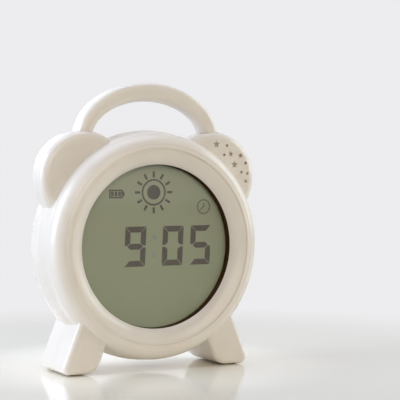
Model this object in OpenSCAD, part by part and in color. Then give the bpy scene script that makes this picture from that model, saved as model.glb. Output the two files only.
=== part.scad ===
// Children's alarm clock with a night-light display: a drum on two splayed feet, with two round
// ears, a carry handle and a round display, in two moulded housings that meet at a parting plane.
// X runs to the right, Y backwards and Z up. The face looks along -Y. The origin is on the table,
// under the middle of the clock.

/* [Drum] */
// Outer diameter of the drum
drum_d = 140; // [116:1:168]
// Depth from the front bead to the flat back
drum_depth = 58; // [56:1:70]
// How far the drum's side bulges out between its rim and its back edge
drum_bulge = 1.5; // [0.5:0.1:2.5]
// Height of the drum's underside over the table
ground_gap = 4.5; // [4.5:0.5:12]
// Section radius of the bulged front rim
rim_r = 10.5; // [9:0.5:12]
// Section radius of the rounded back edge
back_edge_r = 24; // [18:1:25]
// Wall thickness of both housings
wall = 2.4; // [2:0.1:3]
// Depth of the parting plane behind the front bead
part_depth = 22.75; // [22:0.25:27]
// Thickness of the locating lip at the parting plane
lip_t = 1.1; // [0.9:0.1:1.2]
// Height of the locating lip at the parting plane
lip_h = 1.6; // [1:0.2:2.4]

/* [Display opening] */
// Diameter of the visible window
window_d = 100.8; // [84:0.4:102]
// Radial width of the dished bezel ring
bezel_w = 9.5; // [7:0.25:9.5]
// Depth of the window's lip behind the front bead
bezel_dish = 5; // [4:0.5:6]
// Edge thickness of the bezel ring at the window
bezel_lip_t = 0.7; // [0.5:0.1:1.2]
// Wall thickness of the bezel ring's skirt
bezel_skirt_t = 1.9; // [1.5:0.1:2.4]
// Thickness of the ledge that carries the bezel ring
ledge_t = 1.6; // [1.2:0.2:2.4]

/* [Display stack] */
// Flange thickness of the dark light shield
shield_t = 1.1; // [0.8:0.1:1.6]
// Thickness of the clear window
lens_t = 1.2; // [1:0.1:2]
// How far the clear window reaches past the visible window
lens_margin = 5; // [4:0.5:6]
// Thickness of the liquid crystal panel
lcd_t = 2.8; // [2:0.2:3.4]
// Thickness of the light guide
guide_t = 3; // [2.5:0.25:3.5]
// Thickness of the reflector sheet
reflector_t = 0.4; // [0.3:0.1:0.6]
// Wall thickness of the display frame
frame_t = 1.8; // [1.5:0.1:2.2]
// Height of the lit digits
digit_h = 24.6; // [18:0.2:28]
// Width of one lit digit
digit_w = 14.2; // [9:0.2:14.4]
// Stroke width of the lit digits
stroke = 3.6; // [2:0.1:4]
// Distance between two digits of a pair
digit_pitch = 19.3; // [16:0.1:19.6]

/* [Ears] */
// Diameter of an ear
ear_d = 57.6; // [48:0.4:60]
// Thickness of an ear
ear_t = 20; // [16:0.5:21]
// How far an ear's centre lies inside the drum's edge
ear_sink = 9; // [7:0.5:12]
// Angle of an ear's centre above the horizontal
ear_angle = 43.6; // [40:0.2:48]
// Edge radius of an ear
ear_edge_r = 5; // [3:0.25:5]
// Thickness of the ear's wall at the sound holes
grille_t = 1.2; // [1:0.1:1.6]

/* [Handle] */
// Height of the finger gap between the drum and the handle
finger_gap = 17.8; // [15:0.1:25]
// Thickness of the handle at its top
handle_top_t = 11.8; // [9:0.2:13]
// Thickness of the handle's arms
handle_arm_t = 10.4; // [8:0.1:11]
// Depth of the handle from front to back
handle_depth = 14; // [11:0.5:15]
// How far the arms' outer sides stand outside the ears' centres
handle_over = 4.1; // [3:0.1:5]
// How far below the ears' tops the arch springs from
handle_sink = 5.9; // [5.5:0.1:8]

/* [Feet] */
// Width over both feet, at the table
foot_stance = 129.4; // [118:0.2:140]
// Width of a foot
foot_w = 23.5; // [19:0.5:27]
// Depth of a foot from front to back
foot_depth = 39.5; // [29:0.5:40]
// Depth of the feet's front faces behind the front bead
foot_setback = 3.5; // [3:0.5:12]
// Outward splay of the feet in degrees
foot_splay = 21.5; // [16:0.5:25]
// Corner radius at the outer bottom edge of a foot
foot_outer_r = 4; // [3.5:0.5:6]
// Corner radius at the inner bottom edge of a foot
foot_inner_r = 10; // [6:0.5:11]
// Radius of a foot's edges at its front and back faces
foot_edge_r = 3; // [1:0.25:4]
// How far a rubber pad stands out of a foot
pad_proud = 0.6; // [0.4:0.1:1]
// Depth of the pad's recess
pad_sink = 0.8; // [0.6:0.1:1]

/* [Batteries] */
// Number of cells
cells = 3; // [2:1:3]
// Diameter of a cell
cell_d = 14.5; // [12:0.1:14.6]
// Length of a cell over its nub
cell_l = 50.5; // [44:0.1:52]
// Play around a cell
cell_play = 0.5; // [0.3:0.1:0.8]
// Room for a contact spring at a cell's end
spring_room = 2.7; // [2.2:0.1:4]
// Wall thickness of the battery bay
bay_wall = 1.6; // [1.2:0.1:2]
// Thickness of the battery door
door_t = 2; // [1.6:0.1:2.4]
// Corner radius of the battery door
door_corner_r = 4; // [3:0.5:5]

/* [Controls] */
// Diameter of a push button
button_d = 7.6; // [6:0.2:8.4]
// How far a push button stands out of the back
button_proud = 1.2; // [0.8:0.1:2]
// Travel of a push button
button_travel = 0.8; // [0.4:0.1:1]
// Radius of the arc on which the push buttons sit
button_arc_r = 36; // [35:0.5:37]
// Angle between neighbouring push buttons
button_step = 20; // [17:1:21]
// Travel of the lock switch
switch_travel = 4; // [2:0.5:5]
// Distance of the lock switch and the power inlet from the middle
side_x = 35.5; // [34:0.5:37]

/* [Power inlet] */
// Bore of the power inlet
inlet_bore_d = 6.4; // [5.6:0.1:6.6]
// Diameter of the power inlet's centre pin
inlet_pin_d = 2.1; // [1.3:0.1:2.5]

/* [Speaker] */
// Diameter of the speaker
speaker_d = 27; // [24:1:29]
// Gap between the speaker's retainer and the ear's wall
speaker_gap = 0.4; // [0.3:0.1:1]

/* [Fits] */
// Gap between a part that moves and its opening
move_gap = 0.2; // [0.15:0.05:0.4]
// Gap between parts that are fitted together
fit_gap = 0.15; // [0.1:0.05:0.3]
// Gap between stacked sheets
stack_gap = 0.1; // [0.05:0.05:0.2]
// Radial gap of a screw in its hole
screw_gap = 0.05; // [0.02:0.01:0.1]

/* [Hidden] */

$fn = 64;
far = 300;

cream = "#ddd7cd";
white = "#f1f0ec";
dark = "#3a2f26";
black = "#232323";
steel = "#b9bcc0";
board_green = "#2f6b43";

// Frame of the drum
drum_r = drum_d / 2;
waist_r = drum_r + drum_bulge;
drum_z = waist_r + ground_gap;
front_y = -(drum_depth + button_proud) / 2;
back_y = front_y + drum_depth;
back_in_y = back_y - wall;
part_y = front_y + part_depth;
back_flat_r = drum_r - back_edge_r;
side_y = front_y + rim_r;
side_depth = drum_depth - rim_r - back_edge_r;
side_steps = 10;
// The locating lip stands in a little from the wall's inner face
lip_step = 0.2;
lip_inset = wall + lip_step - lip_t;

// Display stack, from the front
window_r = window_d / 2;
seat_r = window_r + bezel_w + fit_gap;
seat_wall_t = 2.2;
lip_y = front_y + bezel_dish;
ledge_y = lip_y + 2;
shield_y = ledge_y + ledge_t;
lens_y = shield_y + shield_t;
lcd_y = lens_y + lens_t + stack_gap;
guide_y = lcd_y + lcd_t + stack_gap;
reflector_y = guide_y + guide_t + stack_gap;
frame_back_y = reflector_y + reflector_t + stack_gap;
frame_end_y = frame_back_y + frame_t;
shield_in_r = window_r - 0.1;
shield_out_r = shield_in_r + 1.8;
lens_r = window_r + lens_margin;
frame_in_r = lens_r + fit_gap;
frame_out_r = frame_in_r + frame_t;
sheet_r = lens_r - 0.5;
guide_low = -0.8 * sheet_r;
guide_high = 0.89 * sheet_r;
strip_z = guide_low - 3.5;
strip_t = 2;
strip_end_gap = 1.2;
strip_half = sqrt(pow(frame_in_r, 2) - pow(strip_z - strip_t / 2, 2)) - strip_end_gap;
segment_t = 0.6 * stack_gap;
digit_pair_x = 12.8;
digit_slant = 0.045;
battery_sign_at = [-25.8, 32.4];
sun_sign_at = [-0.3, 33.2];
sun_r = 8.2;
clock_sign_at = [34.4, 23.9];
led_count = 6;
led_w = 3.2;
led_h = 1.5;
led_board_t = 0.8;
led_end_gap = 3.1;
led_half = sqrt(pow(frame_in_r, 2) - pow(guide_high + led_h + led_board_t, 2)) - led_end_gap;
led_margin = 1.9;
led_pitch = 2 * (led_half - led_margin - led_w / 2) / (led_count - 1);

// Screws and bosses
screw_r = 1.4;
head_r = 2.6;
head_h = 1.7;
boss_r = 3;
boss_ring_r = frame_out_r + boss_r + 1.2;
display_boss_angles = [4, 90, 176, 270];
housing_boss_angles = [20, 160, 218, 322];
tab_t = 1.8;
tab_y = frame_back_y - 1.5;
housing_screw_l = 22;
housing_head_y = part_y + 12;
rear_boss_r = 4.4;
head_gap = 0.5;

// Main board, on posts of the display frame
board_t = 1.6;
board_post_h = 4;
board_y = frame_end_y + board_post_h;
board_r = sheet_r - 2;
board_half = 42;
board_top = 24;
board_post_x = 34;
board_post_z = [18, -28];

// Ears
ear_r = ear_d / 2;
ear_x = (drum_r - ear_sink) * cos(ear_angle);
ear_z = drum_z + (drum_r - ear_sink) * sin(ear_angle);
ear_front_y = part_y - ear_t / 2;
ear_in_y = ear_front_y + wall;
// Star-shaped sound holes: place from the ear's centre on an ear of 28.8 mm radius, and tip radius
star_scale = ear_r / 28.8;
star_large = 2.5;
star_medium = 1.9;
star_small = 1.4;
stars = [[0.5, 20.9, star_large], [8, 20.2, star_small], [6.1, 14.3, star_small],
    [10.8, 14.9, star_medium], [17.8, 13.9, star_medium], [13.6, 8.1, star_large],
    [21.7, 9.1, star_small], [18.6, 3.3, star_small], [22.9, 2.5, star_small],
    [21.8, -2.5, star_small]];
// The wall round the holes is thin, over the ear's flat outside the drum
grille_y = ear_front_y + grille_t;
grille_r = ear_r - max(ear_edge_r, wall + 1);

// Handle, between two half ellipses with one centre
arch_out_x = ear_x + handle_over;
arch_in_x = arch_out_x - handle_arm_t;
arch_mid_x = (arch_out_x + arch_in_x) / 2;
arch_z = ear_z + sqrt(ear_r * ear_r - pow(ear_x - arch_mid_x, 2)) - handle_sink;
arch_in_h = drum_z + waist_r + finger_gap - arch_z;
arch_out_h = arch_in_h + handle_top_t;
handle_tab = [13, 10, 2];
handle_tab_z = arch_z + handle_tab[2] / 2;
handle_power = 0.55;
handle_sides = 28;
handle_rings = 48;

// Feet
foot_y0 = front_y + foot_setback;
foot_y1 = foot_y0 + foot_depth;
foot_n = [cos(foot_splay), sin(foot_splay)];
foot_out_k = foot_n * [foot_stance / 2, -drum_z];
foot_in_k = foot_out_k - foot_w * cos(foot_splay);
foot_top_z = 0.38 * drum_r;
pad_inset = 6;

// Battery bay and its door, in the back
cell_pitch = cell_d + cell_play;
plate_t = 0.4;
bay_w = cells * cell_pitch + 1;
bay_h = cell_l + spring_room + 2 * plate_t;
bay_top = drum_z + 16;
bay_low = bay_top - bay_h;
door_in_y = back_y - door_t;
cell_y = door_in_y - cell_play - cell_d / 2;
bay_floor_y = cell_y - cell_d / 2 - cell_play;
door_w = bay_w + 2 * bay_wall;
door_low = bay_low - bay_wall;
door_screw_z = bay_top + bay_wall + boss_r + 0.4;
door_top = door_screw_z + boss_r;
door_gap = 0.3;
tongue_w = 8;
tongue_x = door_w / 4;
tongue_drop = 2.4;
tongue_t = 1.2;
door_screw_l = 7.5;
door_screw_play = 0.6;
door_head_sink = 1.1;
block_margin = 1.7;
block_t = 2;

// Controls on the back
buttons = [for (i = [-2:2]) 90 + i * button_step];
button_flange_t = 1.2;
button_flange_r = button_d / 2 + 1;
flange_y = back_in_y - stack_gap - button_flange_t;
stem_r = 1.6;
stem_l = 3.8;
plunger_top_y = flange_y - stem_l - button_travel - stack_gap;
plunger_h = 0.8;
tact_h = 3.5;
tact_w = 6;
tact_y = plunger_top_y - plunger_h - tact_h;
button_board_y = tact_y - board_t;
button_board_half = 34;
button_board_z = [drum_z + 22.5, drum_z + 46];
button_boss = [[-29.5, 40], [29.5, 40], [0, 26]];
side_z = drum_z - 8;
slider_w = 3.6;
slider_h = 4.6;
slider_plate = [8, 11, 1.2];
switch_top_y = back_in_y - move_gap - slider_plate[2] - move_gap;
switch_body = [8, 15, 6];
switch_body_size = [switch_body[0], switch_body[2], switch_body[1]];
switch_ear_t = 0.8;
switch_ear_z = 11;
socket_w = 9;
socket_y = back_in_y - 12;
socket_nose_r = 4.3;

// Speaker, behind the right ear's sound holes
speaker_r = speaker_d / 2;
retainer_r = speaker_r + 1;
lug_ring_r = speaker_r + 2.8;
speaker_shift = ear_r - wall - retainer_r - speaker_gap;
speaker_x = ear_x + speaker_shift * cos(ear_angle);
speaker_z = ear_z + speaker_shift * sin(ear_angle);
cloth_t = 0.4;
speaker_y = ear_in_y + cloth_t;
speaker_flange_t = 1.2;
retainer_t = 1.4;
retainer_angles = [ear_angle - 110, ear_angle + 110];
wire_r = 0.6;
spring_wire_r = 0.35;

// Points on an arc
function arc(cx, cy, r, a0, a1, n = 10) =
    [for (i = [0:n]) let (a = a0 + (a1 - a0) * i / n) [cx + r * cos(a), cy + r * sin(a)]];

// Radius of the drum's side at depth y: a smooth bulge between the rim and the back edge
function side_r(y) = drum_r + drum_bulge * (1 - cos(360 * (y - side_y) / side_depth)) / 2;

// Horizontal place, at height z over the drum's axis, on a line of the feet's slope
function foot_x(k, z) = (k - sin(foot_splay) * z) / cos(foot_splay);

// Outline of the right foot, inset by d, measured from the drum's axis
function foot_points(d) =
    let (low = pad_proud - drum_z + d, r_in = foot_inner_r - d, r_out = max(foot_outer_r - d, 0.6))
    concat([[foot_x(foot_in_k + d, -foot_top_z), -foot_top_z]],
        arc(foot_x(foot_in_k + d + r_in, low + r_in), low + r_in, r_in, foot_splay - 180, -90),
        arc(foot_x(foot_out_k - d - r_out, low + r_out), low + r_out, r_out, -90, foot_splay),
        [[foot_x(foot_out_k - d, -foot_top_z), -foot_top_z]]);

// Points of a star with its tips at radius r
function star_points(r) =
    [for (i = [0:9]) let (a = 90 + 36 * i, s = i % 2 == 0 ? r : 0.48 * r) [s * cos(a), s * sin(a)]];

// Extrudes an X-Z outline from y0 to y1
module slab(y0, y1) {
    translate([0, y1, 0]) rotate([90, 0, 0]) linear_extrude(y1 - y0) children();
}

// Turns a radius-depth profile around the drum's axis
module turned() {
    translate([0, 0, drum_z]) rotate([-90, 0, 0]) rotate_extrude($fn = 120) children();
}

// Rod along Y from y0 to y1
module rod(x, z, y0, y1, r) {
    translate([x, y1, z]) rotate([90, 0, 0]) cylinder(r = r, h = y1 - y0);
}

// Cross-head screw along Y: the head's top at y, its shank towards dir
module screw(x, z, y, l, dir) {
    s0 = dir > 0 ? y : y - l;
    difference() {
        union() {
            rod(x, z, s0, s0 + l, screw_r);
            rod(x, z, dir > 0 ? y : y - head_h, dir > 0 ? y + head_h : y, head_r);
        }
        for (a = [0, 90])
            translate([x, y, z]) rotate([0, a, 0]) cube([3, 1.6, 0.6], center = true);
    }
}

// Tube through points, or a sweep of rings that all have the same number of points
module skin(rings) {
    n = len(rings[0]);
    m = len(rings);
    points = [for (ring = rings, p = ring) p];
    sides = [for (i = [0:m - 2], j = [0:n - 1])
        each [[i * n + j, (i + 1) * n + (j + 1) % n, i * n + (j + 1) % n],
            [i * n + j, (i + 1) * n + j, (i + 1) * n + (j + 1) % n]]];
    ends = [[for (j = [0:n - 1]) j], [for (j = [n - 1:-1:0]) (m - 1) * n + j]];
    polyhedron(points = points, faces = concat(sides, ends), convexity = 6);
}

function unit(v) = v / norm(v);

// Rings of a round wire along a path whose bends lie about square to ref
function wire_rings(path, r, ref, sides = 8) =
    [for (i = [0:len(path) - 1])
        let (a = path[max(i - 1, 0)], b = path[min(i + 1, len(path) - 1)], t = unit(b - a),
            u = unit(cross(t, ref)), v = cross(t, u))
        [for (j = [0:sides - 1]) let (w = 360 * j / sides) path[i] + r * (cos(w) * u + sin(w) * v)]];

// Smooth path through three control points and two ends
function bend(a, b, c, d, n = 12) =
    [for (i = [0:n]) let (t = i / n, s = 1 - t)
        s * s * s * a + 3 * s * s * t * b + 3 * s * t * t * c + t * t * t * d];

// ---- Housing forms, inset by d ----

module drum_form(d) {
    turned() {
        translate([0, front_y + d]) square([drum_r - rim_r, rim_r - d]);
        polygon(concat([[0, side_y + side_depth], [0, side_y]], [for (i = [0:side_steps])
            let (y = side_y + side_depth * i / side_steps) [side_r(y) - d, y]]));
        translate([0, back_y - back_edge_r]) square([back_flat_r, back_edge_r - d]);
        intersection() {
            translate([drum_r - rim_r, front_y + rim_r]) circle(r = rim_r - d);
            translate([drum_r - rim_r, front_y]) square(rim_r);
        }
        intersection() {
            translate([back_flat_r, back_y - back_edge_r]) circle(r = back_edge_r - d);
            translate([back_flat_r, back_y - back_edge_r]) square(back_edge_r);
        }
    }
}

module ear_form(side, d) {
    r = ear_r - d;
    e = max(ear_edge_r - d, 1);
    h = ear_t - 2 * d;
    translate([side * ear_x, part_y, ear_z]) rotate([-90, 0, 0]) rotate_extrude($fn = 96) {
        translate([0, -h / 2]) square([r - e, h]);
        translate([r - e, -h / 2 + e]) square([e, h - 2 * e]);
        for (s = [-1, 1])
            intersection() {
                translate([r - e, s * (h / 2 - e)]) circle(r = e);
                translate([r - e, s > 0 ? h / 2 - e : -h / 2]) square(e);
            }
    }
}

// A foot is cut to its outline, to a section with round corners across its length, and to a side
// view with round corners below
module foot_form(side, d) {
    e = max(foot_edge_r - d, 0.6);
    mirror([side < 0 ? 1 : 0, 0, 0]) intersection() {
        slab(foot_y0 + d, foot_y1 - d) translate([0, drum_z]) polygon(foot_points(d));
        translate([0, 0, drum_z]) rotate([0, -foot_splay, 0]) translate([0, 0, -1.5 * drum_r])
            linear_extrude(1.5 * drum_r)
                rounded_rect(foot_in_k + d, foot_y0 + d, foot_out_k - d, foot_y1 - d, e);
        rotate([90, 0, 90]) linear_extrude(2 * drum_r)
            rounded_rect(foot_y0 + d, pad_proud + d, foot_y1 - d, drum_z, e);
    }
}

module body_form(d) {
    drum_form(d);
    for (side = [-1, 1]) {
        ear_form(side, d);
        foot_form(side, d);
    }
}

// Outline of the body at the parting plane, inset by d
module part_outline(d) {
    translate([0, drum_z]) circle(r = side_r(part_y) - d, $fn = 120);
    for (side = [-1, 1]) {
        translate([side * ear_x, ear_z]) circle(r = ear_r - d, $fn = 96);
        translate([0, drum_z]) mirror([side < 0 ? 1 : 0, 0]) polygon(foot_points(d));
    }
}

// Band of the wall between two insets, at the parting plane
module part_band(d0, d1) {
    difference() {
        part_outline(d0);
        part_outline(d1);
    }
}

module half_space(y0, y1) {
    translate([-far / 2, y0, -far / 4]) cube([far, y1 - y0, far]);
}

// Rounded rectangle between two corners
module rounded_rect(x0, z0, x1, z1, r) {
    difference() {
        translate([x0, z0]) square([x1 - x0, z1 - z0]);
        for (x = [x0, x1], z = [z0, z1])
            difference() {
                translate([x, z]) square(2 * r, center = true);
                translate([x == x0 ? x0 + r : x1 - r, z == z0 ? z0 + r : z1 - r])
                    circle(r = r, $fn = 48);
            }
    }
}

// Sockets in the ears for the handle's arms, which follow the arch
module handle_sockets() {
    half = handle_depth / 2 + fit_gap;
    slab(part_y - half, part_y + half) translate([0, arch_z]) for (side = [0, 1])
        mirror([side, 0]) polygon([for (a = [-4:4:32]) [(arch_out_x + fit_gap) * cos(a),
            (arch_out_h + fit_gap) * sin(a)], for (a = [40:-4:-4]) [(arch_in_x - fit_gap) * cos(a),
            (arch_in_h - fit_gap) * sin(a)]]);
}

// Footprint of a foot's rubber pad, grown by d
module pad_form(side, d) {
    x_in = foot_x(foot_in_k, -drum_z) + foot_inner_r - 3;
    x_out = foot_x(foot_out_k, -drum_z) - foot_outer_r - 3.3;
    low = d > 0 ? -1 : 0;
    translate([side > 0 ? x_in - d : -x_out - d, foot_y0 + pad_inset - d, low])
        cube([x_out - x_in + 2 * d, foot_depth - 2 * pad_inset + 2 * d, pad_proud + pad_sink - low]);
}

module ring_rods(angles, y0, y1, r) {
    for (a = angles)
        rod(boss_ring_r * cos(a), drum_z + boss_ring_r * sin(a), y0, y1, r);
}

module retainer_rods(y0, y1, r) {
    for (a = retainer_angles)
        rod(speaker_x + lug_ring_r * cos(a), speaker_z + lug_ring_r * sin(a), y0, y1, r);
}

// Flat of the right ear outside the drum, inset by d
module grille_outline(d) {
    difference() {
        translate([ear_x, ear_z]) circle(r = grille_r - d);
        translate([0, drum_z]) circle(r = waist_r + 0.5 + d);
    }
}

module front_housing() {
    color(cream) difference() {
        union() {
            difference() {
                body_form(0);
                body_form(wall);
                slab(grille_y, ear_in_y + 0.5) grille_outline(0);
                half_space(part_y, far / 2);
            }
            turned() {
                translate([seat_r, front_y + 1.4]) square([seat_wall_t, shield_y - front_y - 1.4]);
                translate([shield_out_r + fit_gap, ledge_y])
                    square([seat_r + 1 - shield_out_r - fit_gap, ledge_t]);
            }
            ring_rods(display_boss_angles, ledge_y + 0.5, tab_y, boss_r);
            ring_rods(housing_boss_angles, ledge_y + 0.5, part_y, boss_r);
            retainer_rods(ear_in_y - 1, speaker_y + speaker_flange_t, 2.4);
        }
        rod(0, drum_z, front_y - 1, ledge_y, seat_r);
        slab(part_y - lip_h - stack_gap, part_y + 1) part_band(lip_inset - fit_gap, wall + lip_step + 0.4);
        ring_rods(display_boss_angles, tab_y - 8, tab_y + 1, screw_r + screw_gap);
        ring_rods(housing_boss_angles, part_y - 11, part_y + 1, screw_r + screw_gap);
        retainer_rods(ear_in_y - 0.8, speaker_y + speaker_flange_t + 1, screw_r + screw_gap);
        for (s = stars)
            slab(ear_front_y - 1, ear_in_y + 1) translate([ear_x + s[0] * star_scale,
                ear_z + s[1] * star_scale])
                polygon(star_points(s[2] * star_scale));
        handle_sockets();
        for (side = [-1, 1]) pad_form(side, fit_gap);
    }
}

// Outline of the battery door, grown by d: a plate with a tab for its screw
module door_outline(d) {
    rounded_rect(-door_w / 2 - d, door_low - d, door_w / 2 + d, bay_top + bay_wall + d,
        door_corner_r + d);
    rounded_rect(-boss_r - 3 - d, bay_top - 8, boss_r + 3 + d, door_top + d, 3 + d);
}

module button_place(a) {
    translate([button_arc_r * cos(a), 0, button_arc_r * sin(a)]) children();
}

module tongue_slots() {
    for (x = [-tongue_x, tongue_x])
        translate([x - tongue_w / 2 - door_gap, back_y - 4.5, door_low - tongue_drop - 0.4])
            cube([tongue_w + 2 * door_gap, 4.5 - door_t + door_gap, tongue_drop + 0.4 + bay_wall]);
}

module rear_housing() {
    color(cream) difference() {
        union() {
            difference() {
                body_form(0);
                body_form(wall);
                half_space(-far / 2, part_y);
            }
            slab(part_y - lip_h, part_y + 1) part_band(lip_inset, wall + lip_step);
            intersection() {
                ring_rods(housing_boss_angles, part_y, back_y, rear_boss_r);
                drum_form(wall / 2);
            }
            slab(bay_floor_y - bay_wall, back_in_y + 0.5) translate([-bay_w / 2 - bay_wall, door_low])
                square([bay_w + 2 * bay_wall, bay_h + 2 * bay_wall]);
            slab(door_in_y - block_t, back_in_y + 0.5) door_outline(block_margin);
            rod(0, door_screw_z, back_y - door_screw_l - 2, back_in_y + 0.5, boss_r + 0.2);
            for (b = button_boss)
                rod(b[0], drum_z + b[1], button_board_y + board_t, back_in_y + 0.5, 2.6);
            for (s = [-1, 1])
                rod(-side_x, side_z + s * switch_ear_z, switch_top_y, back_in_y + 0.5, 2.4);
            for (s = [-1, 1])
                translate([side_x + (s > 0 ? socket_w / 2 + fit_gap : -socket_w / 2 - fit_gap - 1.2),
                    socket_y + 2, side_z - socket_w / 2])
                    cube([1.2, back_in_y - socket_y - 1.5, socket_w]);
        }
        slab(door_in_y, back_y + 1) door_outline(door_gap);
        slab(bay_floor_y, back_y + 1) translate([-bay_w / 2, bay_low]) square([bay_w, bay_h]);
        tongue_slots();
        rod(0, door_screw_z, back_y - door_screw_l - 1, back_y, screw_r + door_screw_play);
        translate([0, 0, drum_z]) for (a = buttons)
            button_place(a) rod(0, 0, back_in_y - 1, back_y + 1, button_d / 2 + move_gap);
        for (b = button_boss)
            rod(b[0], drum_z + b[1], button_board_y, back_in_y + 0.4, screw_r + screw_gap);
        for (s = [-1, 1])
            rod(-side_x, side_z + s * switch_ear_z, switch_top_y - 1, back_in_y + 1, screw_r + screw_gap);
        translate([-side_x - slider_w / 2 - move_gap, back_in_y - 1,
            side_z - (slider_h + switch_travel) / 2 - move_gap])
            cube([slider_w + 2 * move_gap, wall + 2, slider_h + switch_travel + 2 * move_gap]);
        rod(side_x, side_z, back_in_y - 1, back_y + 1, socket_nose_r + fit_gap);
        ring_rods(housing_boss_angles, part_y - 1, back_y, screw_r + 3 * screw_gap);
        ring_rods(housing_boss_angles, housing_head_y - head_h, back_y + 1, head_r + head_gap);
        handle_sockets();
        for (side = [-1, 1]) pad_form(side, fit_gap);
    }
}

// Section of the handle at arch angle a: a rounded rectangle between the two ellipses
function handle_ring(a) =
    let (o = [arch_out_x * cos(a), arch_out_h * sin(a)], i = [arch_in_x * cos(a), arch_in_h * sin(a)],
        m = (o + i) / 2, h = norm(o - i) / 2, e = (o - i) / (2 * h))
    [for (j = [0:handle_sides - 1])
        let (w = 360 * j / handle_sides, c = cos(w), s = sin(w),
            u = h * sign(c) * pow(abs(c), handle_power),
            v = handle_depth / 2 * sign(s) * pow(abs(s), handle_power))
        [m[0] + u * e[0], part_y + v, arch_z + m[1] + u * e[1]]];

module handle() {
    color(cream) {
        skin([for (i = [0:handle_rings]) handle_ring(180 * i / handle_rings)]);
        for (side = [-1, 1])
            translate([side * arch_mid_x, part_y, handle_tab_z])
                cube([handle_tab[0], handle_tab[1], handle_tab[2]], center = true);
    }
}

module foot_pads() {
    color(dark) for (side = [-1, 1]) pad_form(side, 0);
}

module bezel_ring() {
    out_r = seat_r - fit_gap;
    in_r = out_r - bezel_skirt_t;
    step_r = shield_out_r + 0.5;
    color(cream) turned() polygon([[window_r, lip_y], [out_r, front_y + 0.4], [out_r, ledge_y],
        [in_r, ledge_y], [in_r, front_y + 3], [step_r, lip_y + bezel_lip_t],
        [window_r, lip_y + bezel_lip_t]]);
}

module light_shield() {
    color(dark) turned() polygon([[shield_in_r, lip_y + bezel_lip_t], [shield_out_r, lip_y + bezel_lip_t],
        [shield_out_r, shield_y], [lens_r - 1, shield_y], [lens_r - 1, lens_y], [shield_in_r, lens_y]]);
}

module window_lens() {
    color([0.9, 0.95, 0.95, 0.35]) turned() translate([0, lens_y]) square([lens_r, lens_t]);
}

module lcd_panel() {
    color("#83856c") rod(0, drum_z, lcd_y, lcd_y + lcd_t, sheet_r);
}

// One bar of a seven-segment digit, in the digit's own frame
function bar_points(i) =
    let (w = digit_w / 2, h = digit_h / 2, s = stroke, g = 0.3, m = s / 2)
    i == 0 ? [[-w + g, h], [w - g, h], [w - s, h - s], [s - w, h - s]] :
    i == 1 ? [[-w + g, -h], [w - g, -h], [w - s, s - h], [s - w, s - h]] :
    i == 2 ? [[-w + m, 0], [s - w + g, m], [w - s - g, m], [w - m, 0], [w - s - g, -m], [s - w + g, -m]] :
    i == 3 ? [[-w, h - g], [s - w, h - s - g], [s - w, m + g], [m - w, 2 * g], [-w, 2 * g]] :
    i == 4 ? [[w, h - g], [w - s, h - s - g], [w - s, m + g], [w - m, 2 * g], [w, 2 * g]] :
    i == 5 ? [[-w, g - h], [s - w, s - h + g], [s - w, -m - g], [m - w, -2 * g], [-w, -2 * g]] :
    [[w, g - h], [w - s, s - h + g], [w - s, -m - g], [w - m, -2 * g], [w, -2 * g]];

module lcd_digit(x, bars) {
    translate([x, 0]) for (i = bars)
        polygon([for (p = bar_points(i)) [p[0] + digit_slant * p[1], p[1]]]);
}

module ring_2d(r, t) {
    difference() {
        circle(r = r);
        circle(r = r - t);
    }
}

module battery_sign() {
    difference() {
        union() {
            square([9, 5.3], center = true);
            translate([5, 0]) square([1.4, 3], center = true);
        }
        square([7.2, 3.5], center = true);
    }
    for (x = [-2.4, 0, 2.4]) translate([x, 0]) square([1.8, 2.9], center = true);
}

module sun_sign() {
    ring_2d(sun_r, 1.1);
    circle(r = 0.55 * sun_r);
    for (a = [0:30:359]) rotate(a) translate([sun_r + 2.8, 0]) square([3.6, 1.5], center = true);
}

module clock_sign() {
    ring_2d(4.8, 1);
    translate([0, 1.1]) square([0.9, 3], center = true);
    rotate(130) translate([0, 1.3]) square([0.9, 3.4], center = true);
}

module lcd_segments() {
    color("#5d5450") slab(lcd_y - segment_t, lcd_y) translate([0, drum_z]) {
        lcd_digit(-digit_pair_x, [0, 1, 2, 3, 4, 6]);
        lcd_digit(digit_pair_x, [0, 1, 3, 4, 5, 6]);
        lcd_digit(digit_pair_x + digit_pitch, [0, 1, 2, 3, 6]);
        for (z = [-5.5, 5.5]) translate([digit_slant * z, z]) circle(r = 1.5);
        translate(battery_sign_at) battery_sign();
        translate(sun_sign_at) sun_sign();
        translate(clock_sign_at) clock_sign();
    }
}

module contact_strip() {
    color(black) slab(lcd_y + lcd_t, board_y) translate([-strip_half, drum_z + strip_z - strip_t / 2])
        square([2 * strip_half, strip_t]);
}

// A sheet of the display stack, cut straight above and below
module guide_sheet(y, t) {
    slab(y, y + t) intersection() {
        translate([0, drum_z]) circle(r = sheet_r, $fn = 96);
        translate([-sheet_r, drum_z + guide_low]) square([2 * sheet_r, guide_high - guide_low]);
    }
}

module light_guide() {
    color("#e9f2ee") guide_sheet(guide_y, guide_t);
}

module reflector_sheet() {
    color(white) guide_sheet(reflector_y, reflector_t);
}

module led_board() {
    color(board_green) translate([-led_half, guide_y, drum_z + guide_high + led_h])
        cube([2 * led_half, guide_t, led_board_t]);
}

module leds() {
    color("#fff2b0") for (i = [0:led_count - 1])
        translate([(i - (led_count - 1) / 2) * led_pitch - led_w / 2, guide_y + 0.4,
            drum_z + guide_high + stack_gap])
            cube([led_w, guide_t - 0.8, led_h - stack_gap]);
}

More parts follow.
